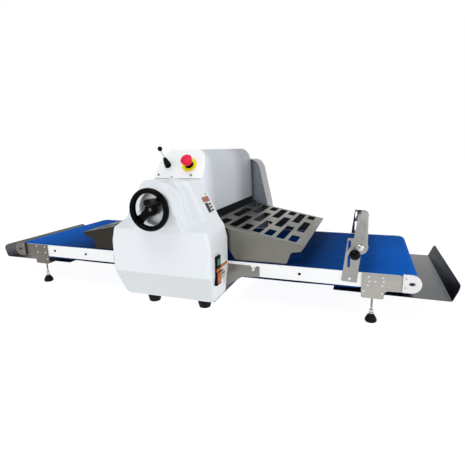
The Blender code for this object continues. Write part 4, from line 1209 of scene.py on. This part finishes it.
def resampled(outline, count=320):
    """The same closed outline with evenly spread points, from its +X end."""
    points = [Vector(p) for p in outline]
    start = max(range(len(points)), key=lambda i: points[i].x)
    points = points[start:] + points[:start] + [points[start]]
    lengths = [0.0]
    for a, b in zip(points, points[1:]):
        lengths.append(lengths[-1] + (b - a).length)
    made = []
    at_edge = 0
    for i in range(count):
        target = lengths[-1] * i / count
        while lengths[at_edge + 1] < target:
            at_edge += 1
        span = lengths[at_edge + 1] - lengths[at_edge]
        share = (target - lengths[at_edge]) / span if span > 0 else 0.0
        made.append(tuple(points[at_edge].lerp(points[at_edge + 1], share)))
    return made


BRACKET_SCREWS = {
    "left": ((0.6936, 0.1611), (0.6497, 0.1598), (0.6896, 0.1347), (0.6480, 0.1356),
             (0.6390, 0.1075)),
    "right": ((0.6539, 0.1567), (0.6969, 0.1568), (0.6571, 0.1422), (0.6750, 0.1437),
              (0.6986, 0.1445), (0.6537, 0.1292), (0.6953, 0.1317), (0.6960, 0.1055),
              (0.6420, 0.1085)),
}


def table_sheets(side):
    """Bed, end bracket, support and bearing plates, in the CAD's shapes."""
    shaded = side == "left"
    refined(f"{side}_table_bed", 0.0007)
    refined(f"{side}_end_bracket", 0.0005, SHADED_END if shaded else LIT_END_STEEL)
    refined(f"{side}_table_support", 0.0005, LIT_SUPPORT_STEEL)
    for name, _ in ENDS:
        refined(f"{side}_bearing_plate_{name}", 0.0008,
                SHADED_END if shaded and name == "front" else None)


def on_both_ends(sign, y, places):
    """Matrices for screws at (x, z) places on both outer faces of a table."""
    return [at(sign * x, end * y, z) @ facing(end) for _, end in ENDS for x, z in places]


def table_screws(side, sign):
    """Rail screws, bracket screws, hanging bolts, bearing screws and the axle's ends."""
    rail = ((0.4370, 0.1440), (0.5966, 0.1464)) if side == "left" else ((0.4370, 0.1440),)
    screw_group(f"{side}_rail_screws", on_both_ends(sign, RAIL_Y, rail), 0.0048, 0.0024,
                hexagon(0.0020), LOOKS["black_plastic"], "frame", "black_plastic")
    screw_group(f"{side}_bracket_screws", on_both_ends(sign, SHEET_Y, BRACKET_SCREWS[side]),
                0.0034, 0.0018, cross(0.0019, 0.0006), LOOKS["chrome"], "frame", "chrome")
    screw_group(f"{side}_hanging_bolts", on_both_ends(sign, SHEET_Y, [(0.277, 0.1455)]),
                0.0062, 0.0042, hexagon(0.0028), LOOKS["chrome"], "frame", "chrome")
    face = MID_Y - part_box(f"{side}_bearing_plate_front")[0].y
    bearing = ((0.7622, 0.1331), (0.7622, 0.1624))
    screw_group(f"{side}_bearing_screws", on_both_ends(sign, face, bearing), 0.0030, 0.0016,
                cross(0.0017, 0.0006), LOOKS["steel"], "frame", "steel")
    axle = middle(f"{side}_end_roller")
    stub = [(0, 0.0042), (0.0040, 0.0042), (0.0044, 0.0), (0, 0.0)]
    stubs = [turned(stub, 0.0005, at(axle.x, end * (SHEET_Y + GAP), axle.z) @ facing(end), 32)
             for _, end in ENDS]
    add(f"{side}_axle_ends", merged(*stubs), LOOKS["black_plastic"], f"{side}_end_roller",
        "black_plastic")


def tray_path(side):
    """Section of a tray from its inner edge to the lip's tip, with a half width at each point."""
    low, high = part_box(f"{side}_tray")
    inner_x, outer_x = sorted((abs(low.x), abs(high.x)))
    half = size(f"{side}_tray").y / 2
    floor_z = low.z + SHEET_T / 2
    bend_r, fold_x = 0.006, 0.8965
    lip = math.atan2(high.z - floor_z, outer_x - fold_x)
    bend = (fold_x - bend_r * math.tan(lip / 2), floor_z + bend_r)
    path = [(inner_x, floor_z), (inner_x + 0.003, floor_z)]
    path += arc(bend, bend_r, -90, -90 + math.degrees(lip), 10)
    widths = [half - 0.003] + [half] * (len(path) - 1)
    tip, start = Vector((outer_x - 0.0008, high.z - 0.0004)), Vector(path[-1])
    corner = 0.022
    for share in (0.3, 0.55, 0.7, 0.8, 0.88, 0.94, 0.98, 1.0):
        inside = max(0.0, corner - (tip - start).length * (1 - share))
        path.append(tuple(start.lerp(tip, share)))
        widths.append(half - corner + math.sqrt(max(0.0, corner ** 2 - inside ** 2)))
    return path, widths


def tray(side, sign):
    """Folded tray: flat floor, a rounded bend and a lip with rounded corners."""
    path, widths = tray_path(side)
    shape, _ = open_skin([[(sign * x, w * t, z) for t in (-1, -0.98, -0.5, 0, 0.5, 0.98, 1)]
                          for (x, z), w in zip(path, widths)])
    sheet = stand_in(f"{side}_tray_sheet", thickened(outward(shape), SHEET_T, 0.0),
                     f"{side}_tray", TRAY_STEEL_SHADED if side == "right" else SHADED_TRAY, sharp=50)
    # the lip's faces take the darker copy of the steel: painted shade
    if side == "right":
        sheet.data.materials.append(LIP_STEEL_SHADED)
        for face in sheet.data.polygons:
            face.material_index = int(face.center.z > path[0][1] + 0.0015)


def support_feet(side):
    """Screw foot: threaded rod, locking nut and a rubber cone with a steel cap."""
    for name, _ in ENDS:
        node = f"{side}_support_foot_{name}"
        body = BODY_OF[node]
        centre = middle(node)
        place = at(centre.x, centre.y - MID_Y, 0)
        cone = [(0, 0.0280), (0.0060, 0.0280), (0.0085, 0.0262), (0.0130, 0.0200),
                (0.0172, 0.0125), (0.0188, 0.0085), (0.0190, 0.0045), (0.0180, 0.0018),
                (0.0165, 0.0), (0.0090, 0.0), (0.0080, 0.0020), (0, 0.0020)]
        stand_in(node + "_rubber", turned(cone, 0.0015, place, 56), node)
        thread = [(0, 0.0930)]
        pitch = 0.0010
        for i in range(58):
            z = 0.0922 - i * pitch
            thread += [(0.0034, z), (0.0030, z - pitch / 2)]
        thread += [(0.0034, 0.0340), (0.0034, 0.0322), (0.0070, 0.0320), (0.0074, 0.0284),
                   (0, 0.0284)]
        add(node + "_rod", lathe(thread, place, 24), LOOKS["steel"], body, "steel")
        add(node + "_nut", hex_nut(0.0125, 0.0050, 0.0036, place @ at(0, 0, 0.0352)),
            LOOKS["chrome"], body, "steel")


# ---- guards ---------------------------------------------------------------------------------
def slot_rows(column):
    """Where the slots of one row lie across the guard; rows alternate three and two."""
    if column % 2 == 0:
        return ((-0.248, -0.160), (-0.090, 0.100), (0.170, 0.252))
    return ((-0.248, -0.040), (0.045, 0.250))


GUARD_TILT = math.atan(GUARD_SLOPE)
GUARD_LENGTH = (GUARD_END_X - GUARD_HINGE[0]) / math.cos(GUARD_TILT)
GUARD_HALF = 0.278 - SHEET_T / 2
BEND_R = 0.0035
BEND_ARC = BEND_R * math.pi / 2
FLAT_HALF = GUARD_HALF - BEND_R
CHEEK = ((0.437, 0.217, 0.006), (0.405, 0.212, 0.012), (0.397, 0.190, 0.008),
         (0.391, 0.1708, 0.010), (0.206, 0.1708, 0.014), (0.186, 0.205, 0.014),
         (0.150, 0.270, 0.030))     # x, z and corner radius, from the free edge to the hinge


def unfolded(x, z):
    """Place on the flat pattern of a cheek's point, along the slope and past the bend."""
    dx, dz = x - GUARD_HINGE[0], z - GUARD_HINGE[1]
    along = dx * math.cos(GUARD_TILT) - dz * math.sin(GUARD_TILT)
    below = -(dx * math.sin(GUARD_TILT) + dz * math.cos(GUARD_TILT))
    return along, FLAT_HALF + BEND_ARC + max(0.0, below - BEND_R)


def guard_pattern():
    """Outline and slots of the guard's flat sheet."""
    side_line = [(GUARD_LENGTH, FLAT_HALF + BEND_ARC * 0.5)]
    side_line += [unfolded(x, z) for x, z, _ in CHEEK] + [(0.004, FLAT_HALF)]
    right = rounded([(GUARD_LENGTH, 0.0)] + side_line + [(0.004, 0.0)],
                    [0, 0.009] + [radius for _, _, radius in CHEEK] + [0, 0], 6)[1:-1]
    holes = []
    for column in range(7):
        outer = GUARD_LENGTH - 0.0335 - column * 0.0438
        inner = outer - 0.030
        for low, high in slot_rows(column):
            holes.append(rounded([(inner, low), (outer, low), (outer, high), (inner, high)],
                                 0.0065, 5))
    return [right + [(x, -y) for x, y in reversed(right)]] + holes


def guard_sheet():
    """The flat sheet with its cheeks bent down."""
    shape = shape_of(outward(outline_curve(guard_pattern())))
    cuts = [FLAT_HALF + BEND_ARC * i / 6 for i in range(7)]
    for y in cuts + [-y for y in cuts]:
        trim(shape, (0, y, 0), (0, 1, 0), 1e-7, False)
    for vert in shape.verts:
        vert.co = folded(vert.co)
    bmesh.ops.triangulate(shape, faces=[f for f in shape.faces if len(f.verts) > 4])
    return thickened(to_mesh(shape), SHEET_T, 0.0)


def guard(side, sign):
    """Folded guard on its hinge rod, with a hem along its free edge."""
    hinge = at(sign * GUARD_HINGE[0], 0, GUARD_HINGE[1])
    place = hinge @ Matrix.Rotation(sign * GUARD_TILT, 4, "Y") @ Matrix.Diagonal((sign, 1, 1, 1))
    hem = block((GUARD_LENGTH - 0.0016, 0.010 - GUARD_HALF, -0.0050),
                (GUARD_LENGTH - 0.0002, GUARD_HALF - 0.010, 0.0), 0.0005)
    sheet = guard_sheet()
    for mesh in (sheet, hem):
        mesh.transform(place)
        if sign < 0:
            mesh.flip_normals()
    stand_in(f"{side}_guard_sheet", sheet, f"{side}_guard",
             SHADED_GUARD if side == "left" else None, sharp=45)
    reach = size(f"{side}_guard").y / 2
    rod = turned([(0, reach), (0.0040, reach), (0.0040, -reach), (0, -reach)], 0.0006,
                 hinge @ to_y(), 32)
    add(f"{side}_guard_rod", rod, SHADED_GUARD, f"{side}_guard", "steel")
    add(f"{side}_guard_hem", hem, SHADED_GUARD, f"{side}_guard", "stainless")


def folded(point):
    """Where a point of the flat pattern lies once both sides are bent down."""
    past = abs(point.y) - FLAT_HALF
    if past <= 0:
        return point
    side = 1 if point.y > 0 else -1
    if past < BEND_ARC:
        angle = past / BEND_R
        return Vector((point.x, side * (FLAT_HALF + BEND_R * math.sin(angle)),
                       -BEND_R * (1 - math.cos(angle))))
    return Vector((point.x, side * GUARD_HALF, -BEND_R - (past - BEND_ARC)))


# ---- take-up roller -------------------------------------------------------------------------
def take_up_frame():
    """Slotted uprights and the axle between them."""
    for name, _ in ENDS:
        refined(f"take_up_upright_{name}", 0.0005, LIT_UPRIGHT if name == "front" else SHADED_END)
    refined("take_up_axle", 0.0005, LIT_UPRIGHT)


def take_up_tube():
    """Bright tube with stepped ends."""
    x, z = TAKE_UP
    radius, half = size("take_up_roller").z / 2, size("take_up_roller").y / 2
    end = [(0.0063, half - 0.001), (0.0180, half - 0.001), (0.0195, half),
           (radius - 0.001, half), (radius, half - 0.001)]
    profile = end + [(radius, 0.0)] + [(r, -y) for r, y in reversed(end)]
    stand_in("take_up_tube", turned(profile, 0.0004, at(x, 0, z) @ to_y(), 72),
             "take_up_roller", ACROSS)


def take_up_clamp():
    """Clamping hub on the axle with its ball lever, and the uprights' screws."""
    x, z = TAKE_UP
    face = -(SHEET_Y + GAP + 0.005 + GAP)
    hub = turned([(0, -0.016), (0.0085, -0.016), (0.0115, -0.013), (0.0115, -0.003),
                  (0.0104, 0.0), (0, 0.0)], 0.0010, at(x, face, z) @ to_y())
    start = Vector((x, face - 0.010, z))
    lever = CLAMP_BALL_AT - start
    place = at(*start) @ lever.to_track_quat("Z", "Y").to_matrix().to_4x4()
    length = lever.length
    rod = turned([(0, length - 0.016), (0.0050, length - 0.016), (0.0062, length - 0.024),
                  (0.0062, 0.004), (0, 0.004)], 0.0008, place, 32)
    stand_in("clamp_hub", merged(hub, rod), "take_up_clamp")
    ball = lathe(knob(length, 0.0165, -64, 28, 0.0068, 0.0006), place, 56)
    add("clamp_ball", ball, GLOSS_BLACK, "take_up_clamp", "black_plastic")
    screw_group("upright_screws", on_both_ends(1, SHEET_Y, [(0.597, 0.145)]), 0.0052, 0.0028,
                hexagon(0.0021), LOOKS["chrome"], "frame", "chrome")


# ---- rollers and drive ----------------------------------------------------------------------
def stepped(front, rear, journal, radius):
    """Profile along Y of a roller with a journal at each end."""
    half = ROLLER_HALF
    return [(0, rear), (journal, rear), (journal, half), (radius, half), (radius, 0.0),
            (radius, -half), (journal, -half), (journal, front), (0, front)]


def table_roller(node):
    """Turned roller with chamfered ends and stepped journals."""
    centre = middle(node)
    radius, reach = size(node).z / 2, size(node).y / 2
    profile = stepped(-reach, reach, 0.008 if radius > 0.023 else 0.0045, radius)
    mesh = turned(profile, 0.0008, at(centre.x, 0, centre.z) @ to_y(), 72)
    stand_in(node + "_turned", mesh, node)


def sheeting_rollers():
    """The two big rollers; the lower one carries a chain wheel."""
    for node in ("upper_roller", "lower_roller"):
        low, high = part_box(node)
        z = middle(node).z
        profile = stepped(low.y - MID_Y, high.y - MID_Y, 0.010, 0.030)
        meshes = [turned(profile, 0.0008, at(0, 0, z) @ to_y(), 96)]
        if node == "lower_roller":
            meshes.append(sprocket(25, 0.0255, 0.0095, at(0, -0.335, z)))
        stand_in(node + "_turned", merged(*meshes), node)


def sprocket(teeth, pitch_r, bore, matrix):
    """Toothed chain wheel in the XZ plane, 6 mm wide, centred on the matrix."""
    outline = []
    for i in range(teeth * 8):
        angle = math.tau * i / (teeth * 8)
        radius = pitch_r - 0.0004 + 0.0009 * math.cos(teeth * angle)
        outline.append((radius * math.cos(angle), radius * math.sin(angle)))
    return filled([outline, circle((0, 0), bore)], 0.0030, matrix @ to_front(), 0.0004, 2)


def motor():
    """Motor with cooling fins, a cowl and a gearbox."""
    x, _, z = middle("gear_motor")
    low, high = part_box("gear_motor")
    y0, y1 = low.y - MID_Y, high.y - MID_Y
    fins, box_half, can_start, can_end = 28, 0.044, y0 + 0.010, y1 - 0.024
    outline = []
    for i in range(fins * 6):
        angle = math.tau * i / (fins * 6)
        radius = 0.0400 + (0.0020 if math.cos(fins * angle) > 0 else -0.0015)
        outline.append((radius * math.cos(angle), radius * math.sin(angle)))
    can = filled([outline], can_end - can_start,
                 at(x, (can_start + can_end) / 2, z) @ to_front(), 0.0006)
    cowl = turned([(0, y0), (0.036, y0), (0.041, y0 + 0.003), (0.041, y0 + 0.0105),
                   (0, y0 + 0.0105)], 0.0015, at(x, 0, z) @ to_y(), 56)
    box = block((x - box_half, can_end, z - box_half), (x + box_half, y1, z + box_half), 0.0025)
    stand_in("drive_motor", merged(can, cowl, box), "gear_motor")


def chain_drive():
    """The motor's chain wheel and the chain."""
    x, _, z = middle("gear_motor")
    chain_y = middle("drive_chain").y - MID_Y
    hub = turned([(0, chain_y + 0.004), (0.0125, chain_y + 0.004), (0.0125, chain_y - 0.003),
                  (0.009, chain_y - 0.003), (0.009, -0.3455), (0, -0.3455)], 0.0006,
                 at(x, 0, z) @ to_y(), 40)
    stand_in("motor_chain_wheel", merged(hub, sprocket(19, 0.0195, 0.012, at(x, chain_y, z))),
             "motor_sprocket")
    circles = [(x, z, 0.0205), (0, middle("lower_roller").z, 0.0265)]
    path = [Vector(point) for point in resampled(loop_outline(circles, 0.0019), 66)]
    links = []
    for i, (here, there) in enumerate(zip(path, path[1:] + path[:1])):
        links += chain_link(here, there, chain_y, 0.0028 if i % 2 else 0.0019)
    stand_in("roller_chain", merged(*links), "drive_chain")


def chain_link(here, there, chain_y, wide):
    """Two side plates from one pin to the next, and the pin."""
    centre, run = (here + there) / 2, there - here
    turn = Matrix.Rotation(-math.atan2(run.y, run.x), 4, "Y") @ to_front()
    plates = [filled([side_stadium(run.length / 2, 0.0018)], 0.0006,
                     at(centre.x, chain_y + face, centre.y) @ turn, 0.0001, 1)
              for face in (-wide, wide)]
    pin = [(0, 0.0030), (0.0009, 0.0030), (0.0009, -0.0030), (0, -0.0030)]
    return plates + [lathe(pin, at(here.x, chain_y, here.y) @ to_y(), 12)]


def side_stadium(reach, radius):
    """Slot shape lying along X."""
    return arc((reach, 0), radius, -90, 90, 6) + arc((-reach, 0), radius, 90, 270, 6)


def lift():
    """Hidden lifting parts and the scraper, in the CAD's shapes."""
    for node in ("lift_shaft", "hanger_front", "hanger_rear", "lower_scraper"):
        refined(node, 0.0004)


# ---- stage ----------------------------------------------------------------------------------
def camera():
    """Camera at the front right, slightly above, with a small roll."""
    data = bpy.data.cameras.new("view")
    data.sensor_width = 36.0
    data.lens = 29.52
    data.clip_start = 0.05
    made = linked("view", data)
    yaw, pitch, roll = math.radians(19.72), math.radians(12.41), math.radians(-0.95)
    forward = Vector((-math.sin(yaw) * math.cos(pitch), math.cos(yaw) * math.cos(pitch),
                      -math.sin(pitch)))
    right = Vector((math.cos(yaw), math.sin(yaw), 0))
    up = right.cross(forward)
    level = right * math.cos(roll) + up * math.sin(roll)
    above = up * math.cos(roll) - right * math.sin(roll)
    turn = Matrix((level, above, -forward)).transposed()
    made.matrix_world = at(0.6382, -1.4364, 0.5567) @ turn.to_4x4()
    bpy.context.scene.camera = made


def area_light(name, place, target, width, power):
    data = bpy.data.lights.new(name, "AREA")
    data.shape = "SQUARE"
    data.size = width
    data.energy = power
    made = linked(name, data)
    made.location = place
    made.rotation_mode = "QUATERNION"
    made.rotation_quaternion = (Vector(target) - Vector(place)).to_track_quat("-Z", "Y")


def pale_floor():
    """Floor that reaches past the picture, a little below the feet."""
    shape = bmesh.new()
    bmesh.ops.create_grid(shape, x_segments=2, y_segments=2, size=14.0)
    floor = linked("floor", to_mesh(shape))
    floor.location = (0, 0, -0.0005)
    floor.data.materials.append(floor_look())


def sky():
    """World light: white up to about 20 degrees above the horizon, grey overhead."""
    world = bpy.data.worlds.new("studio")
    bpy.context.scene.world = world
    world.use_nodes = True
    tree = world.node_tree
    back = tree.nodes["Background"]
    coords = tree.nodes.new("ShaderNodeTexCoord")
    split = tree.nodes.new("ShaderNodeSeparateXYZ")
    tree.links.new(coords.outputs["Generated"], split.inputs["Vector"])
    ramp = tree.nodes.new("ShaderNodeValToRGB")
    stops = ((0.33, (1.0, 1.0, 1.0, 1.0)), (0.58, (0.46, 0.47, 0.48, 1.0)))
    for element, (position, colour) in zip(ramp.color_ramp.elements, stops):
        element.position = position
        element.color = colour
    tree.links.new(split.outputs["Z"], ramp.inputs["Fac"])
    tree.links.new(ramp.outputs["Color"], back.inputs["Color"])
    back.inputs["Strength"].default_value = 1.0


# ---- build ----------------------------------------------------------------------------------
def build():
    camera()
    pale_floor()
    sky()
    area_light("key", (-0.3, -1.5, 3.2), (0, -0.25, 0.45), 1.5, 30)
    area_light("side", (2.6, -0.9, 0.9), (0.2, -0.35, 0.25), 1.0, 9)
    bpy.context.scene.view_settings.view_transform = "Standard"
    front_shell()
    rear_shell()
    hood()
    panel()
    side_plates()
    housing_feet()
    gland()
    handwheel()
    grip()
    dial()
    joystick()
    emergency_stop()
    switch()
    shoulder_label()
    for side, sign in SIDES:
        belt(side, sign)
        table_sheets(side)
        table_screws(side, sign)
        tray(side, sign)
        support_feet(side)
        guard(side, sign)
        table_roller(f"{side}_drive_roller")
        table_roller(f"{side}_end_roller")
    take_up_frame()
    take_up_tube()
    take_up_clamp()
    sheeting_rollers()
    motor()
    chain_drive()
    lift()


build()
